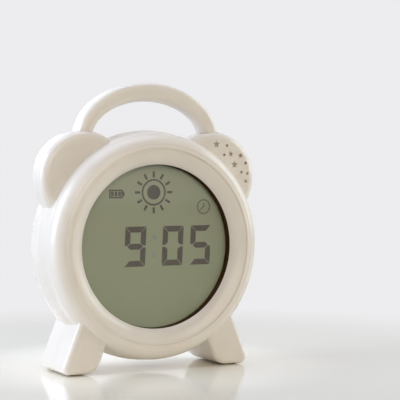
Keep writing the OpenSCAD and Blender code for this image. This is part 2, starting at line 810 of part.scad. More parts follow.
module display_frame() {
    color(white) difference() {
        union() {
            turned() {
                translate([frame_in_r, shield_y]) square([frame_t, frame_end_y - shield_y]);
                translate([0, frame_back_y]) square([frame_out_r, frame_t]);
            }
            ring_rods(display_boss_angles, tab_y, tab_y + tab_t, boss_r);
            for (a = display_boss_angles)
                translate([0, 0, drum_z]) rotate([0, -a, 0])
                    translate([frame_out_r - 0.5, tab_y, -boss_r])
                        cube([boss_ring_r - frame_out_r, tab_t, 2 * boss_r]);
            for (x = [-board_post_x, board_post_x], z = board_post_z)
                rod(x, drum_z + z, frame_end_y - 0.5, board_y, 2.6);
        }
        ring_rods(display_boss_angles, tab_y - 1, tab_y + tab_t + 1, screw_r + 3 * screw_gap);
        for (x = [-board_post_x, board_post_x], z = board_post_z)
            rod(x, drum_z + z, frame_end_y - 0.2, board_y + 1, screw_r + screw_gap);
        translate([-strip_half - fit_gap, frame_back_y - 1, drum_z + strip_z - strip_t / 2 - fit_gap])
            cube([2 * (strip_half + fit_gap), frame_t + 2, strip_t + 2 * fit_gap]);
    }
}

module display_screws() {
    color(steel) for (a = display_boss_angles)
        screw(boss_ring_r * cos(a), drum_z + boss_ring_r * sin(a), tab_y + tab_t + head_h, 9, -1);
}

module main_board() {
    color(board_green) difference() {
        slab(board_y, board_y + board_t) intersection() {
            translate([0, drum_z]) circle(r = board_r, $fn = 96);
            translate([-board_half, drum_z - board_r]) square([2 * board_half, board_r + board_top]);
        }
        for (x = [-board_post_x, board_post_x], z = board_post_z)
            rod(x, drum_z + z, board_y - 1, board_y + board_t + 1, screw_r + 3 * screw_gap);
    }
}

module board_screws() {
    color(steel) for (x = [-board_post_x, board_post_x], z = board_post_z)
        screw(x, drum_z + z, board_y + board_t + head_h, 7, -1);
}

module controller_chip() {
    color(black) translate([-7, board_y + board_t, drum_z - 7]) cube([14, 1.4, 14]);
}

module clock_crystal() {
    color(steel) translate([14, board_y + board_t + 1.5, drum_z + 4]) cylinder(r = 1.5, h = 8);
}

module capacitors() {
    color("#2b3350") for (x = [-22, 22]) rod(x, drum_z - 8, board_y + board_t, board_y + board_t + 8, 3.15);
    color("#c9a46a") for (x = [-16, -11, 20, 25])
        translate([x, board_y + board_t, drum_z + 14]) cube([2, 1, 1.25]);
}

module speaker_turned() {
    translate([speaker_x, 0, speaker_z]) rotate([-90, 0, 0]) rotate_extrude($fn = 72) children();
}

module speaker_cloth() {
    color(dark) slab(grille_y, speaker_y) grille_outline(fit_gap);
}

module speaker_frame() {
    step_r = speaker_r - 1.6;
    color(steel) speaker_turned() translate([0, speaker_y]) polygon([[step_r, 0], [speaker_r, 0],
        [speaker_r, speaker_flange_t], [step_r, speaker_flange_t], [8, 4.4], [0, 4.4], [0, 3.4],
        [7.4, 3.4], [step_r - 1.2, 0.5], [step_r, 0.5]]);
}

module speaker_cone() {
    rim_r = speaker_r - 1.7;
    color(black) speaker_turned() translate([0, speaker_y]) polygon([[0, 0.9], [3.4, 1.7], [4, 2],
        [rim_r - 1.2, 0.1], [rim_r, 0.1], [rim_r, 0.5], [rim_r - 1.4, 0.5], [4.2, 2.5], [4.2, 3.3],
        [3.6, 3.3], [3.4, 2.2], [0, 1.4]]);
}

module speaker_magnet() {
    color("#55565a") rod(speaker_x, speaker_z, speaker_y + 4.4, speaker_y + 7.4, 7.5);
}

module speaker_retainer() {
    y0 = speaker_y + speaker_flange_t;
    color(white) difference() {
        union() {
            rod(speaker_x, speaker_z, y0, y0 + retainer_t, retainer_r);
            retainer_rods(y0, y0 + retainer_t, 2.6);
        }
        rod(speaker_x, speaker_z, y0 - 1, y0 + retainer_t + 1, speaker_r - 1.5);
        retainer_rods(y0 - 1, y0 + retainer_t + 1, screw_r + 3 * screw_gap);
    }
}

module speaker_screws() {
    y = speaker_y + speaker_flange_t + retainer_t + head_h;
    color(steel) for (a = retainer_angles)
        screw(speaker_x + lug_ring_r * cos(a), speaker_z + lug_ring_r * sin(a), y, 5, -1);
}

// A pair of wires side by side
module wire_pair(a, b, c, d, shift) {
    ref = cross(b - a, d - c);
    for (s = [0, 1]) skin(wire_rings([for (p = bend(a, b, c, d)) p + s * shift], wire_r, ref));
}

module speaker_wires() {
    y0 = speaker_y + 7.4 + wire_r;
    y1 = board_y + board_t + wire_r;
    color("#b03a2e") wire_pair([speaker_x - 4, y0, speaker_z - 2], [speaker_x - 12, y0 + 5, speaker_z - 8],
        [44, y1 + 5, drum_z + 30], [36, y1, drum_z + 14], [1.3, 0, -1]);
}

// One AA cell: its nub points up or down
module cell(x, up) {
    z0 = bay_low + plate_t + (up ? spring_room : 0);
    color("#3f6f4f") rod_z(x, z0 + (up ? 0 : 1), cell_l - 1, cell_d / 2);
    color(steel) rod_z(x, up ? z0 + cell_l - 1 : z0, 1, 2.75);
}

module rod_z(x, z, h, r) {
    translate([x, cell_y, z]) cylinder(r = r, h = h);
}

module batteries() {
    for (i = [0:cells - 1]) cell((i - (cells - 1) / 2) * cell_pitch, i % 2 == 0);
}

module battery_springs() {
    turns = 3;
    color(steel) for (i = [0:cells - 1]) {
        up = i % 2 == 0;
        x = (i - (cells - 1) / 2) * cell_pitch;
        z0 = up ? bay_low + plate_t : bay_top - plate_t;
        s = up ? 1 : -1;
        skin(wire_rings([for (k = [0:turns * 12]) let (a = 30 * k, f = k / (turns * 12))
            [x + (4.6 - 1.8 * f) * cos(a), cell_y + (4.6 - 1.8 * f) * sin(a),
                z0 + s * (spring_wire_r + (spring_room - 2 * spring_wire_r) * f)]],
            spring_wire_r, [0, 0, 1], 6));
    }
}

module battery_contacts() {
    color(steel) for (z = [bay_low, bay_top - plate_t], i = [0:cells - 1])
        translate([(i - (cells - 1) / 2) * cell_pitch - 5.5, bay_floor_y, z])
            cube([11, cell_d - 3, plate_t]);
}

module battery_wires() {
    z = drum_z - 6;
    y0 = bay_floor_y - bay_wall - wire_r;
    y1 = board_y + board_t + wire_r;
    color("#b03a2e") wire_pair([-20, y0, z], [-24, y0 - 1, z - 6], [-30, y1 + 3, z - 6], [-31, y1, z - 14],
        [1.8, 0, 0]);
}

module battery_door() {
    color(cream) difference() {
        union() {
            slab(door_in_y, back_y) door_outline(0);
            for (x = [-tongue_x, tongue_x])
                translate([x - tongue_w / 2, door_in_y - tongue_t, door_low - tongue_drop])
                    cube([tongue_w, tongue_t, tongue_drop + bay_wall - 0.2]);
        }
        rod(0, door_screw_z, door_in_y - 1, back_y + 1, screw_r + 3 * screw_gap);
        rod(0, door_screw_z, back_y - door_head_sink, back_y + 1, head_r + head_gap);
        for (i = [0:3]) translate([-9, back_y - 0.5, door_low + 6 + 2.4 * i]) cube([18, 1, 1.1]);
    }
}

module door_screw() {
    color(steel) screw(0, door_screw_z, back_y - door_head_sink + head_h, door_screw_l, -1);
}

module button_board() {
    color(board_green) difference() {
        translate([-button_board_half, button_board_y, button_board_z[0]])
            cube([2 * button_board_half, board_t, button_board_z[1] - button_board_z[0]]);
        for (b = button_boss)
            rod(b[0], drum_z + b[1], button_board_y - 1, button_board_y + board_t + 1,
                screw_r + 3 * screw_gap);
    }
}

module button_board_screws() {
    color(steel) for (b = button_boss)
        screw(b[0], drum_z + b[1], button_board_y - head_h, 8, 1);
}

module button_switches() {
    color(black) translate([0, 0, drum_z]) for (a = buttons) button_place(a) {
        translate([-tact_w / 2, tact_y, -tact_w / 2]) cube([tact_w, tact_h, tact_w]);
        rod(0, 0, tact_y + tact_h - 0.1, plunger_top_y, 1.75);
    }
}

module button_ribbon() {
    w = 10;
    t = 0.4;
    y0 = board_y + board_t + 0.3;
    y1 = button_board_y - 0.3;
    path = bend([y0, board_top - 4], [y0 + 9, board_top - 2], [y1 - 9, board_top + 10],
        [y1, board_top + 8]);
    last = len(path) - 1;
    side = [for (i = [0:last]) let (d = unit(path[min(i + 1, last)] - path[max(i - 1, 0)]))
        t / 2 * [-d[1], d[0]]];
    color("#d8d4c4") translate([-w / 2, 0, drum_z]) rotate([90, 0, 90]) linear_extrude(w)
        polygon(concat([for (i = [0:last]) path[i] - side[i]], [for (i = [last:-1:0]) path[i] + side[i]]));
}

// A push button at its place on the arc: cap, retaining flange and stem
module push_button(i) {
    color(i == 0 ? "#e8c25a" : cream) translate([0, 0, drum_z]) button_place(buttons[i]) {
        rod(0, 0, flange_y, back_y + button_proud, button_d / 2);
        rod(0, 0, flange_y, flange_y + button_flange_t, button_flange_r);
        rod(0, 0, flange_y - stem_l, flange_y + 0.5, stem_r);
    }
}

module light_button() { push_button(0); }
module hour_button() { push_button(1); }
module minute_button() { push_button(2); }
module alarm_button() { push_button(3); }
module time_button() { push_button(4); }

module lock_switch() {
    z_half = switch_body[1] / 2;
    color(steel) difference() {
        union() {
            translate([-side_x - switch_body[0] / 2, switch_top_y - switch_body[2], side_z - z_half])
                cube(switch_body_size);
            translate([-side_x - 3, switch_top_y - switch_ear_t, side_z - switch_ear_z - 3])
                cube([6, switch_ear_t, 2 * switch_ear_z + 6]);
        }
        for (s = [-1, 1])
            rod(-side_x, side_z + s * switch_ear_z, switch_top_y - 2, switch_top_y + 1,
                screw_r + 3 * screw_gap);
    }
}

module lock_switch_screws() {
    color(steel) for (s = [-1, 1])
        screw(-side_x, side_z + s * switch_ear_z, switch_top_y - switch_ear_t - head_h, 5, 1);
}

// The lock switch's knob, at the lower end of its travel
module lock_slider() {
    z0 = side_z - switch_travel / 2;
    y0 = switch_top_y + move_gap;
    color("#b9b3a6") {
        translate([-side_x - slider_plate[0] / 2, y0, z0 - slider_plate[1] / 2])
            cube([slider_plate[0], slider_plate[2], slider_plate[1]]);
        translate([-side_x - slider_w / 2, y0, z0 - slider_h / 2])
            cube([slider_w, back_y + 0.9 - y0, slider_h]);
    }
}

module power_socket() {
    color(black) difference() {
        union() {
            translate([side_x - socket_w / 2, socket_y, side_z - socket_w / 2])
                cube([socket_w, back_in_y - socket_y, socket_w]);
            rod(side_x, side_z, back_in_y - 1, back_y - 0.2, socket_nose_r);
        }
        rod(side_x, side_z, socket_y + 2, back_y + 1, inlet_bore_d / 2);
        rod(side_x, side_z, socket_y - 1, socket_y + 3, inlet_pin_d / 2 + screw_gap);
    }
}

module power_pin() {
    color(steel) rod(side_x, side_z, socket_y - 1.5, back_y - 1.8, inlet_pin_d / 2);
}

module power_wires() {
    y0 = socket_y - wire_r;
    y1 = board_y + board_t + wire_r;
    color("#303030") wire_pair([side_x + 2, y0, side_z - 2], [side_x + 2, y0 - 4, side_z - 4],
        [38, y1 + 5, side_z - 8], [36, y1, side_z - 12], [1.6, 0, 0]);
}

module housing_screws() {
    color(steel) for (a = housing_boss_angles)
        screw(boss_ring_r * cos(a), drum_z + boss_ring_r * sin(a), housing_head_y, housing_screw_l, -1);
}

front_housing();
rear_housing();
handle();
foot_pads();
bezel_ring();
light_shield();
window_lens();
lcd_panel();
lcd_segments();
contact_strip();
light_guide();
reflector_sheet();
led_board();
leds();
display_frame();
display_screws();
main_board();
board_screws();
controller_chip();
clock_crystal();
capacitors();
speaker_cloth();
speaker_frame();
speaker_cone();
speaker_magnet();
speaker_retainer();
speaker_screws();
speaker_wires();
batteries();
battery_springs();
battery_contacts();
battery_wires();
battery_door();
door_screw();
button_board();
button_board_screws();
button_switches();
button_ribbon();
light_button();
hour_button();
minute_button();
alarm_button();
time_button();
lock_switch();
lock_switch_screws();
lock_slider();
power_socket();
power_pin();
power_wires();
housing_screws();
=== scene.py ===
import math
import bmesh
import bpy
from mathutils import Matrix, Vector


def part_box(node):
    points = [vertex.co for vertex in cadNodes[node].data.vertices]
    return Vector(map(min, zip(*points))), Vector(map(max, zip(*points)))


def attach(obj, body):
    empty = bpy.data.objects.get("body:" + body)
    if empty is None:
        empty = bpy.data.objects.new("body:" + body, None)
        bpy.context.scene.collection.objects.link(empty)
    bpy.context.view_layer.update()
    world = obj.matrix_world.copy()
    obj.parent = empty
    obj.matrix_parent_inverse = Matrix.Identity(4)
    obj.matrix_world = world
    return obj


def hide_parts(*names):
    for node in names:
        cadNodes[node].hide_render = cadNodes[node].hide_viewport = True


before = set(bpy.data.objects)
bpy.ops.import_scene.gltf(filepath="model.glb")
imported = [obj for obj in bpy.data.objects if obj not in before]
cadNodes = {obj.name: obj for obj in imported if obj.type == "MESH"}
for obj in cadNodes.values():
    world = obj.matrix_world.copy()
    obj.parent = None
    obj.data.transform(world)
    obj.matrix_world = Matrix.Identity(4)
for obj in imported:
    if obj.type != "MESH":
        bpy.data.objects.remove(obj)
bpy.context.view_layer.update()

scene = bpy.context.scene

# Sizes are in millimetres where no other unit is given. Y runs from the front of the clock to
# its back, Z up, and the centre of a round form is (x, z).
mm = 0.001
weld = 0.001        # points of a new form this near to each other become one
cadWeld = 0.0005    # and points of a CAD mesh
cutGap = 0.0001     # points this near to a cutting plane are taken as on it
planeGap = 0.01     # points this near to the parting plane belong to its groove


# small helpers

def linear(hexText):
    # sRGB hex text to a linear colour with alpha
    parts = [int(hexText[i:i + 2], 16) / 255 for i in (1, 3, 5)]
    return [c / 12.92 if c <= 0.04045 else ((c + 0.055) / 1.055) ** 2.4 for c in parts] + [1.0]


def addNode(tree, kind, settings=None, links=None):
    # adds a node, sets its properties or its sockets, and links sockets into it
    node = tree.nodes.new(kind)
    for key, value in (settings or {}).items():
        if isinstance(key, str) and hasattr(node, key):
            setattr(node, key, value)
        else:
            node.inputs[key].default_value = value
    for key, socket in (links or {}).items():
        tree.links.new(socket, node.inputs[key])
    return node


def span(node):
    # a CAD node's lowest and highest corner, in mm
    low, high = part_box(node)
    return low / mm, high / mm


def arc(centre, radius, start, end, steps):
    # points of an arc, its ends included, with angles in degrees
    turns = [math.radians(start + (end - start) * i / steps) for i in range(steps + 1)]
    return [(centre[0] + radius * math.cos(t), centre[1] + radius * math.sin(t)) for t in turns]


def curve(start, pull, end, steps):
    # points of a soft curve from start to end, drawn towards pull
    found = []
    for i in range(steps + 1):
        t = i / steps
        found.append(tuple((1 - t) ** 2 * a + 2 * t * (1 - t) * b + t * t * c
                           for a, b, c in zip(start, pull, end)))
    return found


# camera

camera = {
    "place": (-375.92, -794.52, 132.14),
    "look": (0.465204, 0.884625, -0.032012),
    "roll": -0.179,     # degrees about the line of sight
    "lens": 126.0,
    "sensor": 36.0,
    "clipEnd": 20,      # metres
}


def makeCamera():
    data = bpy.data.cameras.new("camera")
    data.lens = camera["lens"]
    data.sensor_width = camera["sensor"]
    data.clip_end = camera["clipEnd"]
    seen = bpy.data.objects.new("camera", data)
    scene.collection.objects.link(seen)
    look = Vector(camera["look"]).normalized()
    roll = Matrix.Rotation(math.radians(camera["roll"]), 4, look)
    turn = look.to_track_quat("-Z", "Y").to_matrix().to_4x4()
    seen.matrix_world = Matrix.Translation(Vector(camera["place"]) * mm) @ roll @ turn
    scene.camera = seen


# light: a cool window on the left, a little behind the clock, paler windows behind and on the
# right, the ceiling, and warm light from the room in front and from the table on the right, with
# places and sizes in metres and power in watts

lamps = {
    "windowLeft": {"at": (-1.467, 0.312, 0.65), "size": (1.05, 1.2),
                   "power": 24.0, "colour": "#dfebff"},
    "windowRight": {"at": (1.5, -0.2, 0.6), "size": (1.0, 1.0),
                    "power": 10.0, "colour": "#effcff"},
    "rearWindow": {"at": (-0.25, 1.4, 0.75), "size": (1.0, 0.7),
                   "power": 7.0, "colour": "#f6f6fc"},
    "ceiling": {"at": (0.0, 0.1, 1.7), "size": (1.5, 1.5),
                "power": 12.0, "colour": "#dfe8ff"},
    "room": {"at": (-0.2, -1.9, 0.8), "size": (1.8, 1.2),
             "power": 15.8, "colour": "#fff0da"},
    "tableGlow": {"at": (1.35, -0.8, 0.2), "size": (1.2, 0.35),
                  "power": 1.8, "colour": "#fff2dc"},
}
lampAim = (0, 0, 0.09)      # the middle of the clock, in metres
world = {
    "behind": "#dde8ff", "behindStrength": 0.58,    # from the half of the room behind the clock
    "before": "#fff6e6", "beforeStrength": 0.08,    # and from the half in front of it
    "blend": 0.6,           # how far to each side of the middle they run into each other
    "seen": "#edecee",      # the backdrop
}


def makeLamps():
    for name, lamp in lamps.items():
        data = bpy.data.lights.new(name, "AREA")
        data.shape = "RECTANGLE"
        data.size, data.size_y = lamp["size"]
        data.energy = lamp["power"]
        data.color = linear(lamp["colour"])[:3]
        light = bpy.data.objects.new(name, data)
        scene.collection.objects.link(light)
        light.location = Vector(lamp["at"])
        light.rotation_mode = "QUATERNION"
        aim = Vector(lampAim) - Vector(lamp["at"])
        light.rotation_quaternion = aim.to_track_quat("-Z", "Y")


def makeWorld():
    # soft light all round, brighter behind the clock, and a pale backdrop that camera and clear
    # pieces see all round and gloss sees behind the clock
    scene.world = bpy.data.worlds.new("world")
    scene.world.use_nodes = True
    tree = scene.world.node_tree
    tree.nodes.clear()
    way = addNode(tree, "ShaderNodeSeparateXYZ", None,
                  {0: addNode(tree, "ShaderNodeTexCoord").outputs["Generated"]})
    depth = addNode(tree, "ShaderNodeMapRange",
                    {"From Min": -world["blend"], "From Max": world["blend"]},
                    {"Value": way.outputs["Y"]})
    before, behind = [
        addNode(tree, "ShaderNodeBackground",
                {"Color": linear(world[side]), "Strength": world[side + "Strength"]})
        for side in ("before", "behind")]
    path = addNode(tree, "ShaderNodeLightPath")
    seen = addNode(tree, "ShaderNodeBackground", {"Color": linear(world["seen"]), "Strength": 1.0})
    back = addNode(tree, "ShaderNodeMixShader", None,
                   {0: path.outputs["Is Glossy Ray"], 1: behind.outputs[0], 2: seen.outputs[0]})
    light = addNode(tree, "ShaderNodeMixShader", None,
                    {0: depth.outputs[0], 1: before.outputs[0], 2: back.outputs[0]})
    shown = addNode(tree, "ShaderNodeMath", {"operation": "MAXIMUM"},
                    {0: path.outputs["Is Camera Ray"], 1: path.outputs["Is Transmission Ray"]})
    mix = addNode(tree, "ShaderNodeMixShader", None,
                  {0: shown.outputs[0], 1: light.outputs[0], 2: seen.outputs[0]})
    addNode(tree, "ShaderNodeOutputWorld", None, {"Surface": mix.outputs[0]})


# materials

# a colour Mix node's sockets, by number because its other sockets have the same names
mixBy, mixFrom, mixTo, mixOut = 0, 6, 7, 2
bandsPerMetre = 3.2     # of a wave texture at scale 1


def scaleOf(size):
    # the scale at which a noise, brick or dot pattern has features of this size
    return 1 / (size * mm)


def startMaterial(name, base, rough, ior=1.5):
    # a Principled surface, with the object's own coordinates for its patterns
    material = bpy.data.materials.new(name)
    material.use_nodes = True
    tree = material.node_tree
    surface = tree.nodes["Principled BSDF"]
    surface.inputs["Base Color"].default_value = linear(base)
    surface.inputs["Roughness"].default_value = rough
    surface.inputs["IOR"].default_value = ior
    where = addNode(tree, "ShaderNodeTexCoord").outputs["Object"]
    return material, tree, surface, where


def mottle(tree, surface, where, base, other, size):
    # an uneven mix of two near colours, in patches of about the given size
    noise = addNode(tree, "ShaderNodeTexNoise", {"Scale": scaleOf(size), "Detail": 3.0},
                    {"Vector": where})
    spread = addNode(tree, "ShaderNodeMapRange", {"From Min": 0.35, "From Max": 0.65},
                     {"Value": noise.outputs["Fac"]})
    mix = addNode(tree, "ShaderNodeMix",
                  {"data_type": "RGBA", mixFrom: linear(base), mixTo: linear(other)},
                  {mixBy: spread.outputs[0]})
    tree.links.new(mix.outputs[mixOut], surface.inputs["Base Color"])
    return mix.outputs[mixOut]


def grain(tree, surface, where, size, depth):
    # fine relief with grains of the given size and depth
    noise = addNode(tree, "ShaderNodeTexNoise", {"Scale": scaleOf(size), "Detail": 2.0},
                    {"Vector": where})
    bump = addNode(tree, "ShaderNodeBump", {"Distance": depth * mm},
                   {"Height": noise.outputs["Fac"]})
    tree.links.new(bump.outputs["Normal"], surface.inputs["Normal"])
    return noise.outputs["Fac"]


def vary(tree, surface, source, low, high):
    # roughness that follows a pattern
    shift = addNode(tree, "ShaderNodeMapRange",
                    {"From Min": 0.3, "From Max": 0.7, "To Min": low, "To Max": high},
                    {"Value": source})
    tree.links.new(shift.outputs[0], surface.inputs["Roughness"])


def mouldedPlastic(name, base, other, rough, patch=24.0, gloss=0.5):
    # injection-moulded ABS: one even colour with a faint cloudiness, and a satin skin whose
    # fine spark-eroded grain only softens its highlights. The grain is drawn a little coarse.
    # Other plastics, resins and pressed powders take other colours, patches and roughness.
    material, tree, surface, where = startMaterial(name, base, rough, ior=1.53)
    surface.inputs["Specular IOR Level"].default_value = gloss
    mottle(tree, surface, where, base, other, patch)
    fine = grain(tree, surface, where, size=0.5, depth=0.002)
    vary(tree, surface, fine, rough - 0.01, rough + 0.02)
    return material


def softRubber(name, base, other):
    # moulded rubber: dull, with a powdery grain
    material, tree, surface, where = startMaterial(name, base, rough=0.75)
    mottle(tree, surface, where, base, other, size=3.0)
    fine = grain(tree, surface, where, size=0.4, depth=0.02)
    vary(tree, surface, fine, low=0.68, high=0.85)
    return material


def clearAcrylic(name, tint, rough, clear, haze):
    # cast acrylic: clear, with a polished face that is hazier in places. Lamps shine straight
    # through it.
    material, tree, surface, where = startMaterial(name, tint, rough, ior=1.49)
    surface.inputs["Transmission Weight"].default_value = 1.0
    cloud = addNode(tree, "ShaderNodeTexNoise", {"Scale": scaleOf(haze), "Detail": 2.0},
                    {"Vector": where})
    vary(tree, surface, cloud.outputs["Fac"], rough, rough + 0.03)
    passing = addNode(tree, "ShaderNodeBsdfTransparent", {"Color": linear(clear)})
    path = addNode(tree, "ShaderNodeLightPath")
    mix = addNode(tree, "ShaderNodeMixShader", None,
                  {0: path.outputs["Is Shadow Ray"], 1: surface.outputs[0],
                   2: passing.outputs[0]})
    tree.links.new(mix.outputs[0], tree.nodes["Material Output"].inputs["Surface"])
    return material


def displayCell(name, base, other, speck, low, lowZ, highZ, border, borderR):
    # liquid crystal cell over a reflective polariser: grey-green, silky and faintly granular,
    # painted lighter towards its top, where the deep recess shades it, and dark brown round its
    # edge
    material, tree, surface, where = startMaterial(name, base, rough=0.42)
    axes = addNode(tree, "ShaderNodeSeparateXYZ", None, {0: where})
    # painted light: from its foot up to its top the cell turns from the low colour to its base
    # colour
    fall = addNode(tree, "ShaderNodeMapRange", {"From Min": lowZ * mm, "From Max": highZ * mm},
                   {"Value": axes.outputs["Z"]})
    paintedTopLight = addNode(tree, "ShaderNodeMix",
                   {"data_type": "RGBA", mixFrom: linear(low), mixTo: linear(base)},
                   {mixBy: fall.outputs[0]})
    noise = addNode(tree, "ShaderNodeTexNoise", {"Scale": scaleOf(speck), "Detail": 1.0},
                    {"Vector": where})
    share = addNode(tree, "ShaderNodeMapRange",
                    {"From Min": 0.3, "From Max": 0.7, "To Max": 0.35},
                    {"Value": noise.outputs["Fac"]})
    mix = addNode(tree, "ShaderNodeMix", {"data_type": "RGBA", mixTo: linear(other)},
                  {mixBy: share.outputs[0], mixFrom: paintedTopLight.outputs[mixOut]})
    flat = addNode(tree, "ShaderNodeMapping",
                   {"Location": (0, 0, -drum["centre"][1] * mm), "Scale": (1, 0, 1)},
                   {"Vector": where})
    away = addNode(tree, "ShaderNodeVectorMath", {"operation": "LENGTH"}, {0: flat.outputs[0]})
    outside = addNode(tree, "ShaderNodeMath", {"operation": "GREATER_THAN", 1: borderR * mm},
                      {0: away.outputs["Value"]})
    edged = addNode(tree, "ShaderNodeMix", {"data_type": "RGBA", mixTo: linear(border)},
                    {mixBy: outside.outputs[0], mixFrom: mix.outputs[mixOut]})
    tree.links.new(edged.outputs[mixOut], surface.inputs["Base Color"])
    grain(tree, surface, where, speck, depth=0.002)
    return material


# the display's weaker signs, the blinking dots of the colon and the small clock: low X, high X,
# low Z and high Z
displaySigns = {"dots": (-2.6, 2.6, 66.0, 86.0), "clock": (28.0, 41.0, 93.0, 107.0)}


def displayInk(name, base, other, patch, dots, clock):
    # darkened crystal: deep warm grey. The weaker signs take lighter colours by their places.
    material, tree, surface, where = startMaterial(name, base, rough=0.45)
    tints = {"dots": dots, "clock": clock}
    noise = addNode(tree, "ShaderNodeTexNoise", {"Scale": scaleOf(patch), "Detail": 2.0},
                    {"Vector": where})
    ink = addNode(tree, "ShaderNodeMix",
                  {"data_type": "RGBA", mixFrom: linear(base), mixTo: linear(other)},
                  {mixBy: noise.outputs["Fac"]})
    axes = addNode(tree, "ShaderNodeSeparateXYZ", None, {0: where})
    for sign, (left, right, bottom, top) in displaySigns.items():
        tests = [addNode(tree, "ShaderNodeMath", {"operation": kind, 1: limit * mm},
                         {0: axes.outputs[axis]}).outputs[0]
                 for axis, limit, kind in (("X", left, "GREATER_THAN"), ("X", right, "LESS_THAN"),
                                           ("Z", bottom, "GREATER_THAN"), ("Z", top, "LESS_THAN"))]
        inside = tests[0]
        for test in tests[1:]:
            inside = addNode(tree, "ShaderNodeMath", {"operation": "MULTIPLY"},
                             {0: inside, 1: test}).outputs[0]
        ink = addNode(tree, "ShaderNodeMix", {"data_type": "RGBA", mixTo: linear(tints[sign])},
                      {mixBy: inside, mixFrom: ink.outputs[mixOut]})
    tree.links.new(ink.outputs[mixOut], surface.inputs["Base Color"])
    return material


def circuitBoard(name, base, trace, pitch, shade, patch):
    # glass-fibre board under green solder mask: glossy, with paler lines where copper runs, drawn
    # coarser than real ones, and darker patches
    material, tree, surface, where = startMaterial(name, base, rough=0.3)
    turned = addNode(tree, "ShaderNodeMapping", {"Rotation": (math.pi / 2, 0, 0)},
                     {"Vector": where})
    lines = addNode(tree, "ShaderNodeTexBrick",
                    {"Scale": scaleOf(pitch), "Mortar Size": 0.03, "Mortar Smooth": 0.2,
                     "Brick Width": 0.9, "Row Height": 0.22, "Color1": linear(base),
                     "Color2": linear(base), "Mortar": linear(trace)},
                    {"Vector": turned.outputs[0]})
    noise = addNode(tree, "ShaderNodeTexNoise", {"Scale": scaleOf(patch)}, {"Vector": where})
    mix = addNode(tree, "ShaderNodeMix",
                  {"data_type": "RGBA", "blend_type": "MULTIPLY", mixTo: linear(shade)},
                  {mixBy: noise.outputs["Fac"], mixFrom: lines.outputs["Color"]})
    tree.links.new(mix.outputs[mixOut], surface.inputs["Base Color"])
    bump = addNode(tree, "ShaderNodeBump", {"Strength": 0.6, "Distance": 0.03 * mm},
                   {"Height": lines.outputs["Fac"]})
    tree.links.new(bump.outputs["Normal"], surface.inputs["Normal"])
    return material


def platedMetal(name, base, other, rough=0.3, streak=0.35):
    # plated steel or brass: bright, with fine drawn or rolled streaks along Z
    material, tree, surface, where = startMaterial(name, base, rough)
    surface.inputs["Metallic"].default_value = 1.0
    drawn = addNode(tree, "ShaderNodeMapping", {"Scale": (1, 1, 0.12)}, {"Vector": where})
    noise = addNode(tree, "ShaderNodeTexNoise", {"Scale": scaleOf(streak), "Detail": 3.0},
                    {"Vector": drawn.outputs[0]})
    mix = addNode(tree, "ShaderNodeMix",
                  {"data_type": "RGBA", mixFrom: linear(base), mixTo: linear(other)},
                  {mixBy: noise.outputs["Fac"]})
    tree.links.new(mix.outputs[mixOut], surface.inputs["Base Color"])
    vary(tree, surface, noise.outputs["Fac"], rough - 0.08, rough + 0.1)
    return material


def wovenCloth(name, base, thread, pitch):
    # plain-woven acoustic cloth: dull, with threads that cross at the given pitch
    material, tree, surface, where = startMaterial(name, base, rough=0.9)
    across, upright = [
        addNode(tree, "ShaderNodeTexWave",
                {"wave_type": "BANDS", "bands_direction": direction,
                 "Scale": scaleOf(pitch) / bandsPerMetre, "Distortion": 0.6, "Detail": 1.0},
                {"Vector": where})
        for direction in ("X", "Z")]
    weave = addNode(tree, "ShaderNodeMath", {"operation": "MULTIPLY"},
                    {0: across.outputs["Fac"], 1: upright.outputs["Fac"]})
    mix = addNode(tree, "ShaderNodeMix",
                  {"data_type": "RGBA", mixFrom: linear(base), mixTo: linear(thread)},
                  {mixBy: weave.outputs[0]})
    tree.links.new(mix.outputs[mixOut], surface.inputs["Base Color"])
    bump = addNode(tree, "ShaderNodeBump", {"Strength": 0.8, "Distance": 0.1 * mm},
                   {"Height": weave.outputs[0]})
    tree.links.new(bump.outputs["Normal"], surface.inputs["Normal"])
    surface.inputs["Sheen Weight"].default_value = 0.2
    return material


def stripedStrip(name, base, stripe, pitch, rough=0.6):
    # a dull strip of layers or wires that lie side by side at the given pitch
    material, tree, surface, where = startMaterial(name, base, rough)
    wave = addNode(tree, "ShaderNodeTexWave",
                   {"wave_type": "BANDS", "bands_direction": "X",
                    "Scale": scaleOf(pitch) / bandsPerMetre}, {"Vector": where})
    mix = addNode(tree, "ShaderNodeMix",
                  {"data_type": "RGBA", mixFrom: linear(base), mixTo: linear(stripe)},
                  {mixBy: wave.outputs["Fac"]})
    tree.links.new(mix.outputs[mixOut], surface.inputs["Base Color"])
    bump = addNode(tree, "ShaderNodeBump", {"Strength": 0.5, "Distance": 0.1 * mm},
                   {"Height": wave.outputs["Fac"]})
    tree.links.new(bump.outputs["Normal"], surface.inputs["Normal"])
    return material


def capacitorSleeve(name, sleeve, other, patch, metal, endFacing):
    # electrolytic can: a shrunk sleeve round the side, and bare metal on the flat ends, which
    # face along Y by at least the given share
    material, tree, surface, where = startMaterial(name, sleeve, rough=0.35)
    facing = addNode(tree, "ShaderNodeSeparateXYZ", None,
                     {0: addNode(tree, "ShaderNodeNewGeometry").outputs["Normal"]})
    along = addNode(tree, "ShaderNodeMath", {"operation": "ABSOLUTE"}, {0: facing.outputs["Y"]})
    ends = addNode(tree, "ShaderNodeMath", {"operation": "GREATER_THAN", 1: endFacing},
                   {0: along.outputs[0]})
    noise = addNode(tree, "ShaderNodeTexNoise", {"Scale": scaleOf(patch)}, {"Vector": where})
    skin = addNode(tree, "ShaderNodeMix",
                   {"data_type": "RGBA", mixFrom: linear(sleeve), mixTo: linear(other)},
                   {mixBy: noise.outputs["Fac"]})
    mix = addNode(tree, "ShaderNodeMix", {"data_type": "RGBA", mixTo: linear(metal)},
                  {mixBy: ends.outputs[0], mixFrom: skin.outputs[mixOut]})
    tree.links.new(mix.outputs[mixOut], surface.inputs["Base Color"])
    tree.links.new(ends.outputs[0], surface.inputs["Metallic"])
    return material


